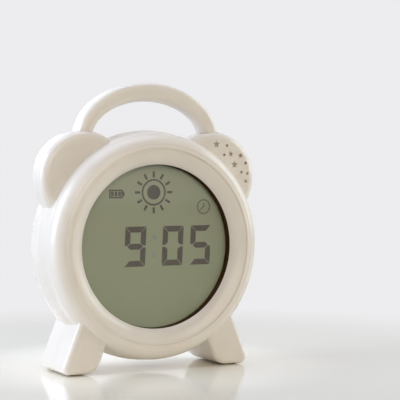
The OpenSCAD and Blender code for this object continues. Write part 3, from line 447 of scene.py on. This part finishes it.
def cellSleeve(name, body, other, patch, band, bandFrom, bandMetal, halfWidth):
    # printed sleeve on a dry cell: a dark body and a coppery band at its positive end, which
    # starts the given way from the cell's middle. The middle one of the three cells, within the
    # half width of X, stands the other way round, so its band is at the other end.
    material, tree, surface, where = startMaterial(name, body, rough=0.28)
    low, high = span("batteries")
    axes = addNode(tree, "ShaderNodeSeparateXYZ", None, {0: where})
    side = addNode(tree, "ShaderNodeMath", {"operation": "ABSOLUTE"}, {0: axes.outputs["X"]})
    middle = addNode(tree, "ShaderNodeMath", {"operation": "LESS_THAN", 1: halfWidth * mm},
                     {0: side.outputs[0]})
    flip = addNode(tree, "ShaderNodeMapRange", {"To Min": 1.0, "To Max": -1.0},
                   {"Value": middle.outputs[0]})
    height = addNode(tree, "ShaderNodeMath",
                     {"operation": "SUBTRACT", 1: (low.z + high.z) / 2 * mm},
                     {0: axes.outputs["Z"]})
    along = addNode(tree, "ShaderNodeMath", {"operation": "MULTIPLY"},
                    {0: height.outputs[0], 1: flip.outputs[0]})
    metal = addNode(tree, "ShaderNodeMath", {"operation": "GREATER_THAN", 1: bandFrom * mm},
                    {0: along.outputs[0]})
    noise = addNode(tree, "ShaderNodeTexNoise", {"Scale": scaleOf(patch)}, {"Vector": where})
    dark = addNode(tree, "ShaderNodeMix",
                   {"data_type": "RGBA", mixFrom: linear(body), mixTo: linear(other)},
                   {mixBy: noise.outputs["Fac"]})
    mix = addNode(tree, "ShaderNodeMix", {"data_type": "RGBA", mixTo: linear(band)},
                  {mixBy: metal.outputs[0], mixFrom: dark.outputs[mixOut]})
    tree.links.new(mix.outputs[mixOut], surface.inputs["Base Color"])
    shine = addNode(tree, "ShaderNodeMath", {"operation": "MULTIPLY", 1: bandMetal},
                    {0: metal.outputs[0]})
    tree.links.new(shine.outputs[0], surface.inputs["Metallic"])
    return material


def dottedGuide(name, base, dot, pitch, dotR):
    # light guide: clear acrylic, frosted by a field of printed dots that scatter the light, with
    # their radius as a share of their pitch
    material, tree, surface, where = startMaterial(name, base, rough=0.2, ior=1.49)
    cells = addNode(tree, "ShaderNodeTexVoronoi", {"Scale": scaleOf(pitch), "Randomness": 0.15},
                    {"Vector": where})
    spot = addNode(tree, "ShaderNodeMath", {"operation": "LESS_THAN", 1: dotR},
                   {0: cells.outputs["Distance"]})
    mix = addNode(tree, "ShaderNodeMix",
                  {"data_type": "RGBA", mixFrom: linear(base), mixTo: linear(dot)},
                  {mixBy: spot.outputs[0]})
    tree.links.new(mix.outputs[mixOut], surface.inputs["Base Color"])
    surface.inputs["Transmission Weight"].default_value = 0.35
    return material


finishes = {
    # cream ABS of the shells, and duller on the caps, the knob and the frames inside
    "creamPlastic": (mouldedPlastic, {"base": "#e8e2d9", "other": "#e4ddd3", "rough": 0.25}),
    "buttonPlastic": (mouldedPlastic, {"base": "#e6ddd1", "other": "#e1d7ca", "rough": 0.34}),
    "lampPlastic": (mouldedPlastic, {"base": "#e2bd5c", "other": "#dbb450", "rough": 0.34}),
    "knobPlastic": (mouldedPlastic, {"base": "#b3ab9d", "other": "#aaa293", "rough": 0.4}),
    "innerPlastic": (mouldedPlastic, {"base": "#e9e6df", "other": "#e0ddd4", "rough": 0.42}),
    # brown ABS with next to no shine: the shield's own dark colour, which also stands in as
    # painted shade for the depth of the ring round the display
    "shieldPlasticAndShade": (mouldedPlastic, {"base": "#3b2508", "other": "#422b0b", "rough": 0.6,
                                       "gloss": 0.1}),
    # nylon, epoxy, pressed paper and ferrite: dull, close-grained and dark
    "blackNylon": (mouldedPlastic, {"base": "#1f1f20", "other": "#2a2a2b", "rough": 0.45,
                                    "patch": 4.0}),
    "chipResin": (mouldedPlastic, {"base": "#242427", "other": "#2e2e31", "rough": 0.55,
                                   "patch": 1.5}),
    "conePaper": (mouldedPlastic, {"base": "#2b2a29", "other": "#373533", "rough": 0.6,
                                   "patch": 2.0}),
    "magnetIron": (mouldedPlastic, {"base": "#48484b", "other": "#535356", "rough": 0.55,
                                    "patch": 2.0}),
    # epoxy of the small lamps, with a wet gloss, and satin PVC of the wires and polyester film
    "ledResin": (mouldedPlastic, {"base": "#f3e7b8", "other": "#f8f0cf", "rough": 0.2,
                                  "patch": 1.5}),
    "wireSkin": (mouldedPlastic, {"base": "#a8372b", "other": "#9a3026", "rough": 0.4,
                                  "patch": 5.0}),
    "whiteFilm": (mouldedPlastic, {"base": "#f2f2ef", "other": "#e9e9e6", "rough": 0.5,
                                   "patch": 10.0}),
    "padRubber": (softRubber, {"base": "#b7a88e", "other": "#a99a80"}),
    "windowAcrylic": (clearAcrylic, {"tint": "#fbfcfa", "rough": 0.02, "clear": "#f4f6f4",
                                     "haze": 9}),
    # the display cell is painted lighter towards its top, against the shade of the recess, and
    # dark brown round its edge
    "displayGlass": (displayCell, {"base": "#989c87", "other": "#898d76", "speck": 0.5,
                                   "low": "#8a9076", "lowZ": 30, "highZ": 125,
                                   "border": "#36250a", "borderR": 50.1}),
    "displayDark": (displayInk, {"base": "#3f3735", "other": "#5b534f", "patch": 1.2,
                                 "dots": "#858a8a", "clock": "#68685a"}),
    "contactRubber": (stripedStrip, {"base": "#232323", "stripe": "#a9a49b", "pitch": 0.5}),
    "ribbonSkin": (stripedStrip, {"base": "#d2cec4", "stripe": "#9b978f", "pitch": 1.0,
                                  "rough": 0.45}),
    "guideAcrylic": (dottedGuide, {"base": "#eef1ee", "dot": "#ffffff", "pitch": 1.6,
                                   "dotR": 0.35}),
    "greenBoard": (circuitBoard, {"base": "#2a6a41", "trace": "#5f9a5c", "pitch": 10,
                                  "shade": "#d8e0d4", "patch": 2.5}),
    # bluish zinc, warm nickel, a bright steel can and yellow brass
    "zincSteel": (platedMetal, {"base": "#b9bbbd", "other": "#a9abad"}),
    "nickelSteel": (platedMetal, {"base": "#c9c6bd", "other": "#b5b2a9", "rough": 0.25}),
    "crystalCan": (platedMetal, {"base": "#c4c5c6", "other": "#b4b5b7", "rough": 0.22}),
    "brass": (platedMetal, {"base": "#cdb069", "other": "#b99a55", "rough": 0.25}),
    "speakerCloth": (wovenCloth, {"base": "#b4ac9f", "thread": "#cdc6ba", "pitch": 0.8}),
    "capacitorSkin": (capacitorSleeve, {"sleeve": "#20232b", "other": "#2d3038", "patch": 0.8,
                                        "metal": "#b8babd", "endFacing": 0.8}),
    "cellSkin": (cellSleeve, {"body": "#1f2226", "other": "#262a30", "patch": 6,
                              "band": "#b9803f", "bandFrom": 11.0, "bandMetal": 0.8,
                              "halfWidth": 7.5}),
}

# the CAD nodes that stay as they are, with their finishes
finishOf = {
    "lcd_panel": "displayGlass", "lcd_segments": "displayDark", "contact_strip": "contactRubber",
    "light_guide": "guideAcrylic", "reflector_sheet": "whiteFilm", "led_board": "greenBoard",
    "leds": "ledResin", "display_frame": "innerPlastic", "display_screws": "zincSteel",
    "main_board": "greenBoard", "board_screws": "zincSteel", "controller_chip": "chipResin",
    "clock_crystal": "crystalCan", "capacitors": "capacitorSkin",
    "speaker_cloth": "speakerCloth", "speaker_frame": "zincSteel", "speaker_cone": "conePaper",
    "speaker_magnet": "magnetIron", "speaker_retainer": "innerPlastic",
    "speaker_screws": "zincSteel", "speaker_wires": "wireSkin", "batteries": "cellSkin",
    "battery_springs": "nickelSteel", "battery_contacts": "nickelSteel",
    "battery_wires": "wireSkin", "button_board": "greenBoard",
    "button_board_screws": "zincSteel", "button_switches": "blackNylon",
    "button_ribbon": "ribbonSkin", "lock_switch": "blackNylon",
    "lock_switch_screws": "zincSteel", "power_pin": "brass", "power_wires": "wireSkin",
    "housing_screws": "zincSteel",
}
finished = {}


def finish(name):
    # each material is made once
    if name not in finished:
        maker, settings = finishes[name]
        finished[name] = maker(name, **settings)
    return finished[name]


def dress(thing, name):
    # gives an object one finish
    thing.data.materials.clear()
    thing.data.materials.append(finish(name))


# making pieces

def closedForm(form):
    # closes seams and poles, and turns all faces outwards
    bmesh.ops.remove_doubles(form, verts=form.verts, dist=weld * mm)
    bmesh.ops.recalc_face_normals(form, faces=form.faces)
    return form


def cadForm(node):
    # a merged copy of a CAD node's mesh
    form = bmesh.new()
    form.from_mesh(cadNodes[node].data)
    bmesh.ops.remove_doubles(form, verts=form.verts, dist=cadWeld * mm)
    return form


def revolve(profile, centre, steps, ring=False):
    # spins a profile of (radius, y) points about a line along Y through centre. A ring's profile
    # is closed, and any other starts and ends on that line.
    form = bmesh.new()
    points = [form.verts.new(((centre[0] + r) * mm, y * mm, centre[1] * mm)) for r, y in profile]
    pairs = list(zip(points, points[1:] + points[:1] if ring else points[1:]))
    lines = [form.edges.new(pair) for pair in pairs]
    bmesh.ops.spin(form, geom=points + lines, cent=(centre[0] * mm, 0, centre[1] * mm),
                   axis=(0, 1, 0), dvec=(0, 0, 0), angle=2 * math.pi, steps=steps,
                   use_merge=True, use_duplicate=False)
    return closedForm(form)


def makeObject(name, form):
    mesh = bpy.data.meshes.new(name)
    form.to_mesh(mesh)
    form.free()
    thing = bpy.data.objects.new(name, mesh)
    scene.collection.objects.link(thing)
    return thing


def combine(thing, other, operation):
    # joins two closed objects or keeps what they have in common, and drops the second
    step = thing.modifiers.new("combine", "BOOLEAN")
    step.operation = operation
    step.solver = "MANIFOLD"
    step.object = other
    bpy.context.view_layer.update()
    found = thing.evaluated_get(bpy.context.evaluated_depsgraph_get())
    mesh = bpy.data.meshes.new_from_object(found)
    thing.modifiers.clear()
    thing.data = mesh
    bpy.data.objects.remove(other)


crispAngle = 32     # edges sharper than this many degrees stay crisp


def place(thing, body, look, node):
    # shades and dresses a finished piece, and puts it on its body instead of a CAD node
    for face in thing.data.polygons:
        face.use_smooth = True
    thing.data.set_sharp_from_angle(angle=math.radians(crispAngle))
    even = thing.modifiers.new("evenNormals", "WEIGHTED_NORMAL")    # flats stay flat at roundings
    even.keep_sharp = True
    dress(thing, look)
    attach(thing, body)
    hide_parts(node)


# shells: the CAD housings inside a finer outer form

inset = 0.07    # how far the finer form lies inside the CAD's surface
drum = {
    "centre": (0, 76.0), "radius": 70.0, "frontY": -29.6, "backY": 28.4,
    "rimRadius": 10.5, "backRadius": 24.0,      # its rounded edges
    "bulge": 1.5,           # how far the side swells between them
    "flatShare": 0.9,       # of the flat front's radius, where a ring of points keeps it flat
    "steps": 256, "rimSteps": 56, "sideSteps": 24, "backSteps": 32,
}
bead = {"radius": 62.3, "width": 1.1, "depth": 0.15}    # groove that sets off the rim's bead
seam = {                    # parting line of the two shells
    "y": -6.85, "width": 0.16, "depth": 0.12,
    "clear": 1.5,           # no other points come nearer than this many half widths
}
ear = {
    "x": 44.17, "z": 118.07, "radius": 28.8, "frontY": -16.85, "backY": 3.15, "edge": 5.0,
    "steps": 160, "edgeSteps": 14,
}
foot = {
    "splay": 21.5, "stance": 129.4, "width": 23.5, "frontY": -26.1, "backY": 13.4,
    "floorZ": 0.6, "outerCorner": 4.0, "innerCorner": 10.0, "edge": 3.0,
    "topShare": 0.38,       # it starts this share of the drum's radius below the drum's centre
    "topGap": 1,            # edges this near to its top, which the drum hides, stay sharp
    "innerSteps": 12, "outerSteps": 8, "edgeSteps": 6,
}


def cutSeam(profile):
    # replaces the profile's points at the parting plane by a small V-shaped groove
    half, y = seam["width"] / 2, seam["y"]
    before = [p for p in profile if p[1] < y - half * seam["clear"]]
    after = [p for p in profile if p[1] > y + half * seam["clear"]]
    r = (before[-1][0] + after[0][0]) / 2
    return before + [(r, y - half), (r - seam["depth"], y), (r, y + half)] + after


def drumProfile():
    # from the middle of the front over the rim, with its bead, and the swelling side to the back
    radius, rim, back = drum["radius"], drum["rimRadius"], drum["backRadius"]
    front, sideY, backEdgeY = drum["frontY"] + inset, drum["frontY"] + rim, drum["backY"] - back
    rimCentre, backCentre = radius - rim, radius - back
    profile = [(0, front), (rimCentre * drum["flatShare"], front)]
    for r, y in arc((rimCentre, sideY), rim - inset, -90, 0, drum["rimSteps"]):
        away = abs(r - bead["radius"]) / bead["width"]
        sink = bead["depth"] * (0.5 + 0.5 * math.cos(math.pi * away)) if away < 1 else 0
        profile.append((r, y + sink))
    steps = drum["sideSteps"]
    for i in range(1, steps):
        y = sideY + (backEdgeY - sideY) * i / steps
        swell = drum["bulge"] * (1 - math.cos(2 * math.pi * i / steps)) / 2
        profile.append((radius + swell - inset, y))
    profile += arc((backCentre, backEdgeY), back - inset, 0, 90, drum["backSteps"])
    profile.append((0, drum["backY"] - inset))
    return cutSeam(profile)


def earProfile():
    r, e, steps = ear["radius"] - inset, ear["edge"], ear["edgeSteps"]
    front, back = ear["frontY"] + inset, ear["backY"] - inset
    return cutSeam([(0, front)] + arc((r - e, front + e), e, -90, 0, steps)
                   + arc((r - e, back - e), e, 0, 90, steps) + [(0, back)])


def footForm(side):
    # the foot's outline from the front, extruded, rounded, and grooved at the parting line
    splay = math.radians(foot["splay"])
    sin, cos = math.sin(splay), math.cos(splay)
    drumZ = drum["centre"][1]
    outer = cos * foot["stance"] / 2 - sin * drumZ - inset
    inner = outer + 2 * inset - foot["width"] * cos
    low, top = foot["floorZ"] - drumZ + inset, -foot["topShare"] * drum["radius"]
    ri, ro = foot["innerCorner"], foot["outerCorner"]

    def across(k, z):       # x on a slanted side, k from the drum's centre, at height z
        return (k - sin * z) / cos

    outline = [(across(inner, top), top)]
    outline += arc((across(inner + ri, low + ri), low + ri), ri,
                   foot["splay"] - 180, -90, foot["innerSteps"])
    outline += arc((across(outer - ro, low + ro), low + ro), ro,
                   -90, foot["splay"], foot["outerSteps"])
    outline.append((across(outer, top), top))
    form = bmesh.new()
    front = foot["frontY"] + inset
    face = form.faces.new([form.verts.new((side * x * mm, front * mm, (drumZ + z) * mm))
                           for x, z in outline])
    grown = bmesh.ops.extrude_face_region(form, geom=[face])
    moved = [g for g in grown["geom"] if isinstance(g, bmesh.types.BMVert)]
    bmesh.ops.translate(form, verts=moved,
                        vec=(0, (foot["backY"] - foot["frontY"] - 2 * inset) * mm, 0))
    bmesh.ops.recalc_face_normals(form, faces=form.faces)
    rims = [e for e in form.edges if abs(e.verts[0].co.y - e.verts[1].co.y) < weld * mm
            and min(v.co.z for v in e.verts) < (drumZ + top - foot["topGap"]) * mm]
    bmesh.ops.bevel(form, geom=rims, offset=foot["edge"] * mm, offset_type="OFFSET",
                    affect="EDGES", segments=foot["edgeSteps"], profile=0.5, material=-1,
                    clamp_overlap=True)
    half = seam["width"] / 2
    for y in (seam["y"] - half, seam["y"] + half, seam["y"]):
        bmesh.ops.bisect_plane(form, geom=form.verts[:] + form.edges[:] + form.faces[:],
                               plane_co=(0, y * mm, 0), plane_no=(0, 1, 0), dist=cutGap * mm)
    form.normal_update()
    for vert in [v for v in form.verts if abs(v.co.y - seam["y"] * mm) < planeGap * mm]:
        vert.co -= vert.normal * seam["depth"] * mm
    return closedForm(form)


def makeShells():
    for name, node in (("frontShell", "front_housing"), ("rearShell", "rear_housing")):
        outer = makeObject("outer", revolve(drumProfile(), drum["centre"], drum["steps"]))
        for side in (-1, 1):
            earForm = revolve(earProfile(), (side * ear["x"], ear["z"]), ear["steps"])
            combine(outer, makeObject("ear", earForm), "UNION")
            combine(outer, makeObject("foot", footForm(side)), "UNION")
        shell = makeObject(name, cadForm(node))
        combine(shell, outer, "INTERSECT")
        place(shell, "clock", "creamPlastic", node)
    print("shells made")


# handle: a rounded bar bent into a half ellipse, with tabs that the shells hold

handle = {
    "outer": (48.27, 36.12), "inner": (37.87, 24.32), "centreZ": 140.98, "depth": 14.0,
    "power": 0.55, "innerPower": 0.8,       # the lower, the squarer the section
    "seam": 0.14,           # half the width of the groove at the parting line, and its depth
    "sides": 64, "steps": 120, "tab": (13.0, 10.0, 2.0),
}


def handleSection(half):
    # points (across, y) of the bar's section, squarer outside, with grooves at the parting line
    section = []
    for i in range(handle["sides"]):
        turn = 2 * math.pi * i / handle["sides"]
        power = handle["power"] if math.cos(turn) > 0 else handle["innerPower"]
        u = math.copysign(abs(math.cos(turn)) ** power, math.cos(turn))
        v = math.copysign(abs(math.sin(turn)) ** power, math.sin(turn)) * handle["depth"] / 2
        if i in (0, handle["sides"] // 2):
            for shift, depth in ((-1, 0), (0, handle["seam"]), (1, 0)):
                upward = shift * handle["seam"] * (1 if i == 0 else -1)
                section.append((u * (half - depth), upward))
        elif abs(v) > handle["seam"] * seam["clear"]:
            section.append((u * half, v))
    return section


def makeHandle():
    # the bar's section, spun through half a turn and then pressed to the two ellipses
    sizes = list(zip(handle["outer"], handle["inner"]))
    middleX, middleZ = [(outer + inner) / 2 for outer, inner in sizes]
    halfX, halfZ = [(outer - inner) / 2 for outer, inner in sizes]
    form = bmesh.new()
    face = form.faces.new([form.verts.new(((middleX + u) * mm, (seam["y"] + v) * mm, 0))
                           for u, v in handleSection(halfX)])
    bmesh.ops.spin(form, geom=[face], cent=(0, 0, 0), axis=(0, -1, 0), dvec=(0, 0, 0),
                   angle=math.pi, steps=handle["steps"], use_merge=False, use_duplicate=False)
    for vert in form.verts:
        reach = math.hypot(vert.co.x, vert.co.z) / mm
        share = (reach - middleX) / halfX
        vert.co.z = vert.co.z * (middleZ + share * halfZ) / reach + handle["centreZ"] * mm
    bar = makeObject("carryHandle", closedForm(form))
    for side in (-1, 1):
        form = bmesh.new()
        bmesh.ops.create_cube(form, size=1)
        bmesh.ops.scale(form, vec=Vector(handle["tab"]) * mm, verts=form.verts)
        tabZ = handle["centreZ"] + handle["tab"][2] / 2
        bmesh.ops.translate(form, vec=Vector((side * middleX, seam["y"], tabZ)) * mm,
                            verts=form.verts)
        combine(bar, makeObject("tab", form), "UNION")
    place(bar, "clock", "creamPlastic", "handle")
    print("handle made")


# bezel: a dished ring, steep beside the window and flatter outside, with rounded edges

bezel = {
    "innerR": 50.4, "outerR": 59.97, "lipY": -24.6, "topY": -29.25, "backY": -22.6,
    "lip": 0.7, "lipEdge": 0.35,            # thickness and rounding at the window
    "crest": 1.6,                           # its highest line, from the outer edge in
    "pullR": 2.6, "pullY": 1.5,             # bend of the dish, from the inner edge and the top
    "outerEdge": 0.25, "fall": 0.1,         # rounding of the outer edge
    "skirt": 1.9,                           # thickness of the wall that stands in the shell
    "hollow": 2.6, "hollowR": 52.6,         # hollow behind the dish, from the top, and its inside
    "dishSteps": 16, "crestSteps": 8, "lipSteps": 6,
}


def makeBezel():
    r0, r1, edge = bezel["innerR"], bezel["outerR"], bezel["lipEdge"]
    lipY, topY, backY = bezel["lipY"], bezel["topY"], bezel["backY"]
    crest, turn, skirt = r1 - bezel["crest"], r1 - bezel["outerEdge"], r1 - bezel["skirt"]
    lipBackY = lipY + bezel["lip"]
    profile = curve((r0 + edge, lipY), (r0 + bezel["pullR"], topY + bezel["pullY"]),
                    (crest, topY), bezel["dishSteps"])
    profile += curve((crest, topY), (turn, topY), (r1, topY + bezel["fall"]),
                     bezel["crestSteps"])[1:]
    profile += [(r1, backY), (skirt, backY), (skirt, topY + bezel["hollow"]),
                (bezel["hollowR"], lipBackY), (r0 + edge, lipBackY)]
    profile += arc((r0 + edge, lipY + edge), edge, 90, 270, bezel["lipSteps"])[1:-1]
    ring = makeObject("bezelRing", revolve(profile, drum["centre"], drum["steps"], ring=True))
    place(ring, "clock", "creamPlastic", "bezel_ring")
    print("bezel made")


# shield: the dark ring between the bezel and the display, dark in its own colour and as painted
# shade of the recess

shield = {
    "innerR": 50.3, "outerR": 52.1, "frontY": -23.9, "footY": -21.0, "footR": 54.4,
    "backY": -19.9, "chamfer": 0.15,
}


def makeShield():
    inner, outer, footR = shield["innerR"], shield["outerR"], shield["footR"]
    front, footY, back = shield["frontY"], shield["footY"], shield["backY"]
    chamfer = shield["chamfer"]
    wall = [(inner, front + chamfer), (inner + chamfer, front), (outer, front), (outer, footY),
            (footR, footY), (footR, back), (inner, back)]
    dark = makeObject("lightShield", revolve(wall, drum["centre"], drum["steps"], ring=True))
    place(dark, "clock", "shieldPlasticAndShade", "light_shield")
    print("shield made")


# window: a clear disc with chamfered edges

window = {"radius": 55.4, "chamfer": 0.25}


def makeWindow():
    low, high = span("window_lens")
    front, back, c, r = low.y, high.y, window["chamfer"], window["radius"]
    glass = [(0, front), (r - c, front), (r, front + c), (r, back - c), (r - c, back), (0, back)]
    lens = makeObject("clearWindow", revolve(glass, drum["centre"], drum["steps"]))
    place(lens, "clock", "windowAcrylic", "window_lens")
    print("window made")


# pieces whose CAD shape is right but wants softer edges: node, body, finish, slot, edge width

softEdges = {
    "batteryDoor": ("battery_door", "battery_door", "creamPlastic", "shell_plastic", 0.22),
    "doorScrew": ("door_screw", "door_screw", "zincSteel", "screw_steel", 0.12),
    "lockKnob": ("lock_slider", "lock_slider", "knobPlastic", "slider_plastic", 0.2),
    "footPads": ("foot_pads", "clock", "padRubber", "pad_rubber", 0.25),
    "powerInlet": ("power_socket", "clock", "blackNylon", "black_plastic", 0.12),
}
flatAngle = 0.5     # degrees between triangles that are joined
edgeAngle = 50      # degrees from which an edge is rounded


def soften(form, width):
    # joins flat triangles into whole faces, then rounds the sharp edges
    bmesh.ops.dissolve_limit(form, angle_limit=math.radians(flatAngle), verts=form.verts,
                             edges=form.edges)
    sharp = [e for e in form.edges
             if len(e.link_faces) == 2 and e.calc_face_angle() > math.radians(edgeAngle)]
    bmesh.ops.bevel(form, geom=sharp, offset=width * mm, offset_type="OFFSET", affect="EDGES",
                    segments=2, profile=0.5, material=-1, clamp_overlap=True)
    return closedForm(form)


def makeSoftEdged():
    for name, (node, body, look, slot, width) in softEdges.items():
        place(makeObject(name, soften(cadForm(node), width)), body, look, node)
    print("door, knob, pads and inlet made")


# push buttons: rounded caps with a shallow dish for the fingertip

button = {
    "capR": 3.8, "edge": 0.7, "flange": 1.2, "stemR": 1.6, "stemL": 3.8, "stemEdge": 0.3,
    "rim": 0.2,                     # flat ring between the rounded edge and the dish
    "dish": 0.35, "dishR": 1.6,     # the dish's depth, and where its slope would meet its floor
    "steps": 64, "edgeSteps": 6, "dishSteps": 8,
}


def makeButtons():
    for kind in ("light", "hour", "minute", "alarm", "time"):
        node = kind + "_button"
        low, high = span(node)
        centre = ((low.x + high.x) / 2, (low.z + high.z) / 2)
        flangeR = (high.x - low.x) / 2
        flangeY = low.y + button["stemL"]
        flangeTop = flangeY + button["flange"]
        capR, stemR, stemEdge = button["capR"], button["stemR"], button["stemEdge"]
        e, top, floorY = button["edge"], high.y, high.y - button["dish"]
        profile = [(0, low.y), (stemR - stemEdge, low.y), (stemR, low.y + stemEdge),
                   (stemR, flangeY), (flangeR, flangeY), (flangeR, flangeTop), (capR, flangeTop)]
        profile += arc((capR - e, top - e), e, 0, 90, button["edgeSteps"])
        profile += curve((capR - e - button["rim"], top), (button["dishR"], floorY), (0, floorY),
                         button["dishSteps"])
        cap = makeObject(kind + "Button", revolve(profile, centre, button["steps"]))
        if kind == "light":
            place(cap, node, "lampPlastic", node)
        else:
            place(cap, node, "buttonPlastic", node)
    print("buttons made")


# floor: a white lacquered table top with a painted pool of light, pale near the clock and greyer
# away from it

floor = {
    "near": "#fbf6e8", "other": "#f7f1e1", "far": "#d0cbbd", "rough": 0.1, "patch": 60.0,
    # in metres from the middle: its edge, where its painted light turns grey, and where it fades
    # out
    "radius": 3.0, "paleTo": 0.055, "greyFrom": 0.135, "fadeFrom": 0.19, "fadeTo": 0.36,
    "segments": 128,
}


def makeFloor():
    # glossy lacquer that melts into the backdrop for the camera
    form = bmesh.new()
    bmesh.ops.create_circle(form, cap_ends=True, segments=floor["segments"],
                            radius=floor["radius"])
    top = makeObject("floor", form)
    lacquer, tree, surface, where = startMaterial("lacqueredTable", floor["near"], floor["rough"])
    paint = mottle(tree, surface, where, floor["near"], floor["other"], floor["patch"])
    away = addNode(tree, "ShaderNodeVectorMath", {"operation": "LENGTH"}, {0: where})
    # painted light: the table is pale round the clock and turns grey further off
    paintedLightFalloff, fade = [
        addNode(tree, "ShaderNodeMapRange",
                {"interpolation_type": "SMOOTHSTEP", "From Min": floor[start],
                 "From Max": floor[end]},
                {"Value": away.outputs["Value"]})
        for start, end in (("paleTo", "greyFrom"), ("fadeFrom", "fadeTo"))]
    shade = addNode(tree, "ShaderNodeMix", {"data_type": "RGBA", mixTo: linear(floor["far"])},
                    {mixBy: paintedLightFalloff.outputs[0], mixFrom: paint})
    tree.links.new(shade.outputs[mixOut], surface.inputs["Base Color"])
    path = addNode(tree, "ShaderNodeLightPath")
    share = addNode(tree, "ShaderNodeMath", {"operation": "MULTIPLY"},
                    {0: fade.outputs[0], 1: path.outputs["Is Camera Ray"]})
    backdrop = addNode(tree, "ShaderNodeEmission",
                       {"Color": linear(world["seen"]), "Strength": 1.0})
    mix = addNode(tree, "ShaderNodeMixShader", None,
                  {0: share.outputs[0], 1: surface.outputs[0], 2: backdrop.outputs[0]})
    tree.links.new(mix.outputs[0], tree.nodes["Material Output"].inputs["Surface"])
    top.data.materials.append(lacquer)


makeCamera()
makeLamps()
makeWorld()
makeFloor()
print("camera, light and floor made")
for nodeName, look in finishOf.items():
    dress(cadNodes[nodeName], look)
print("CAD nodes dressed")
makeShells()
makeHandle()
makeBezel()
makeShield()
makeWindow()
makeSoftEdged()
makeButtons()

scene.view_settings.view_transform = "Standard"
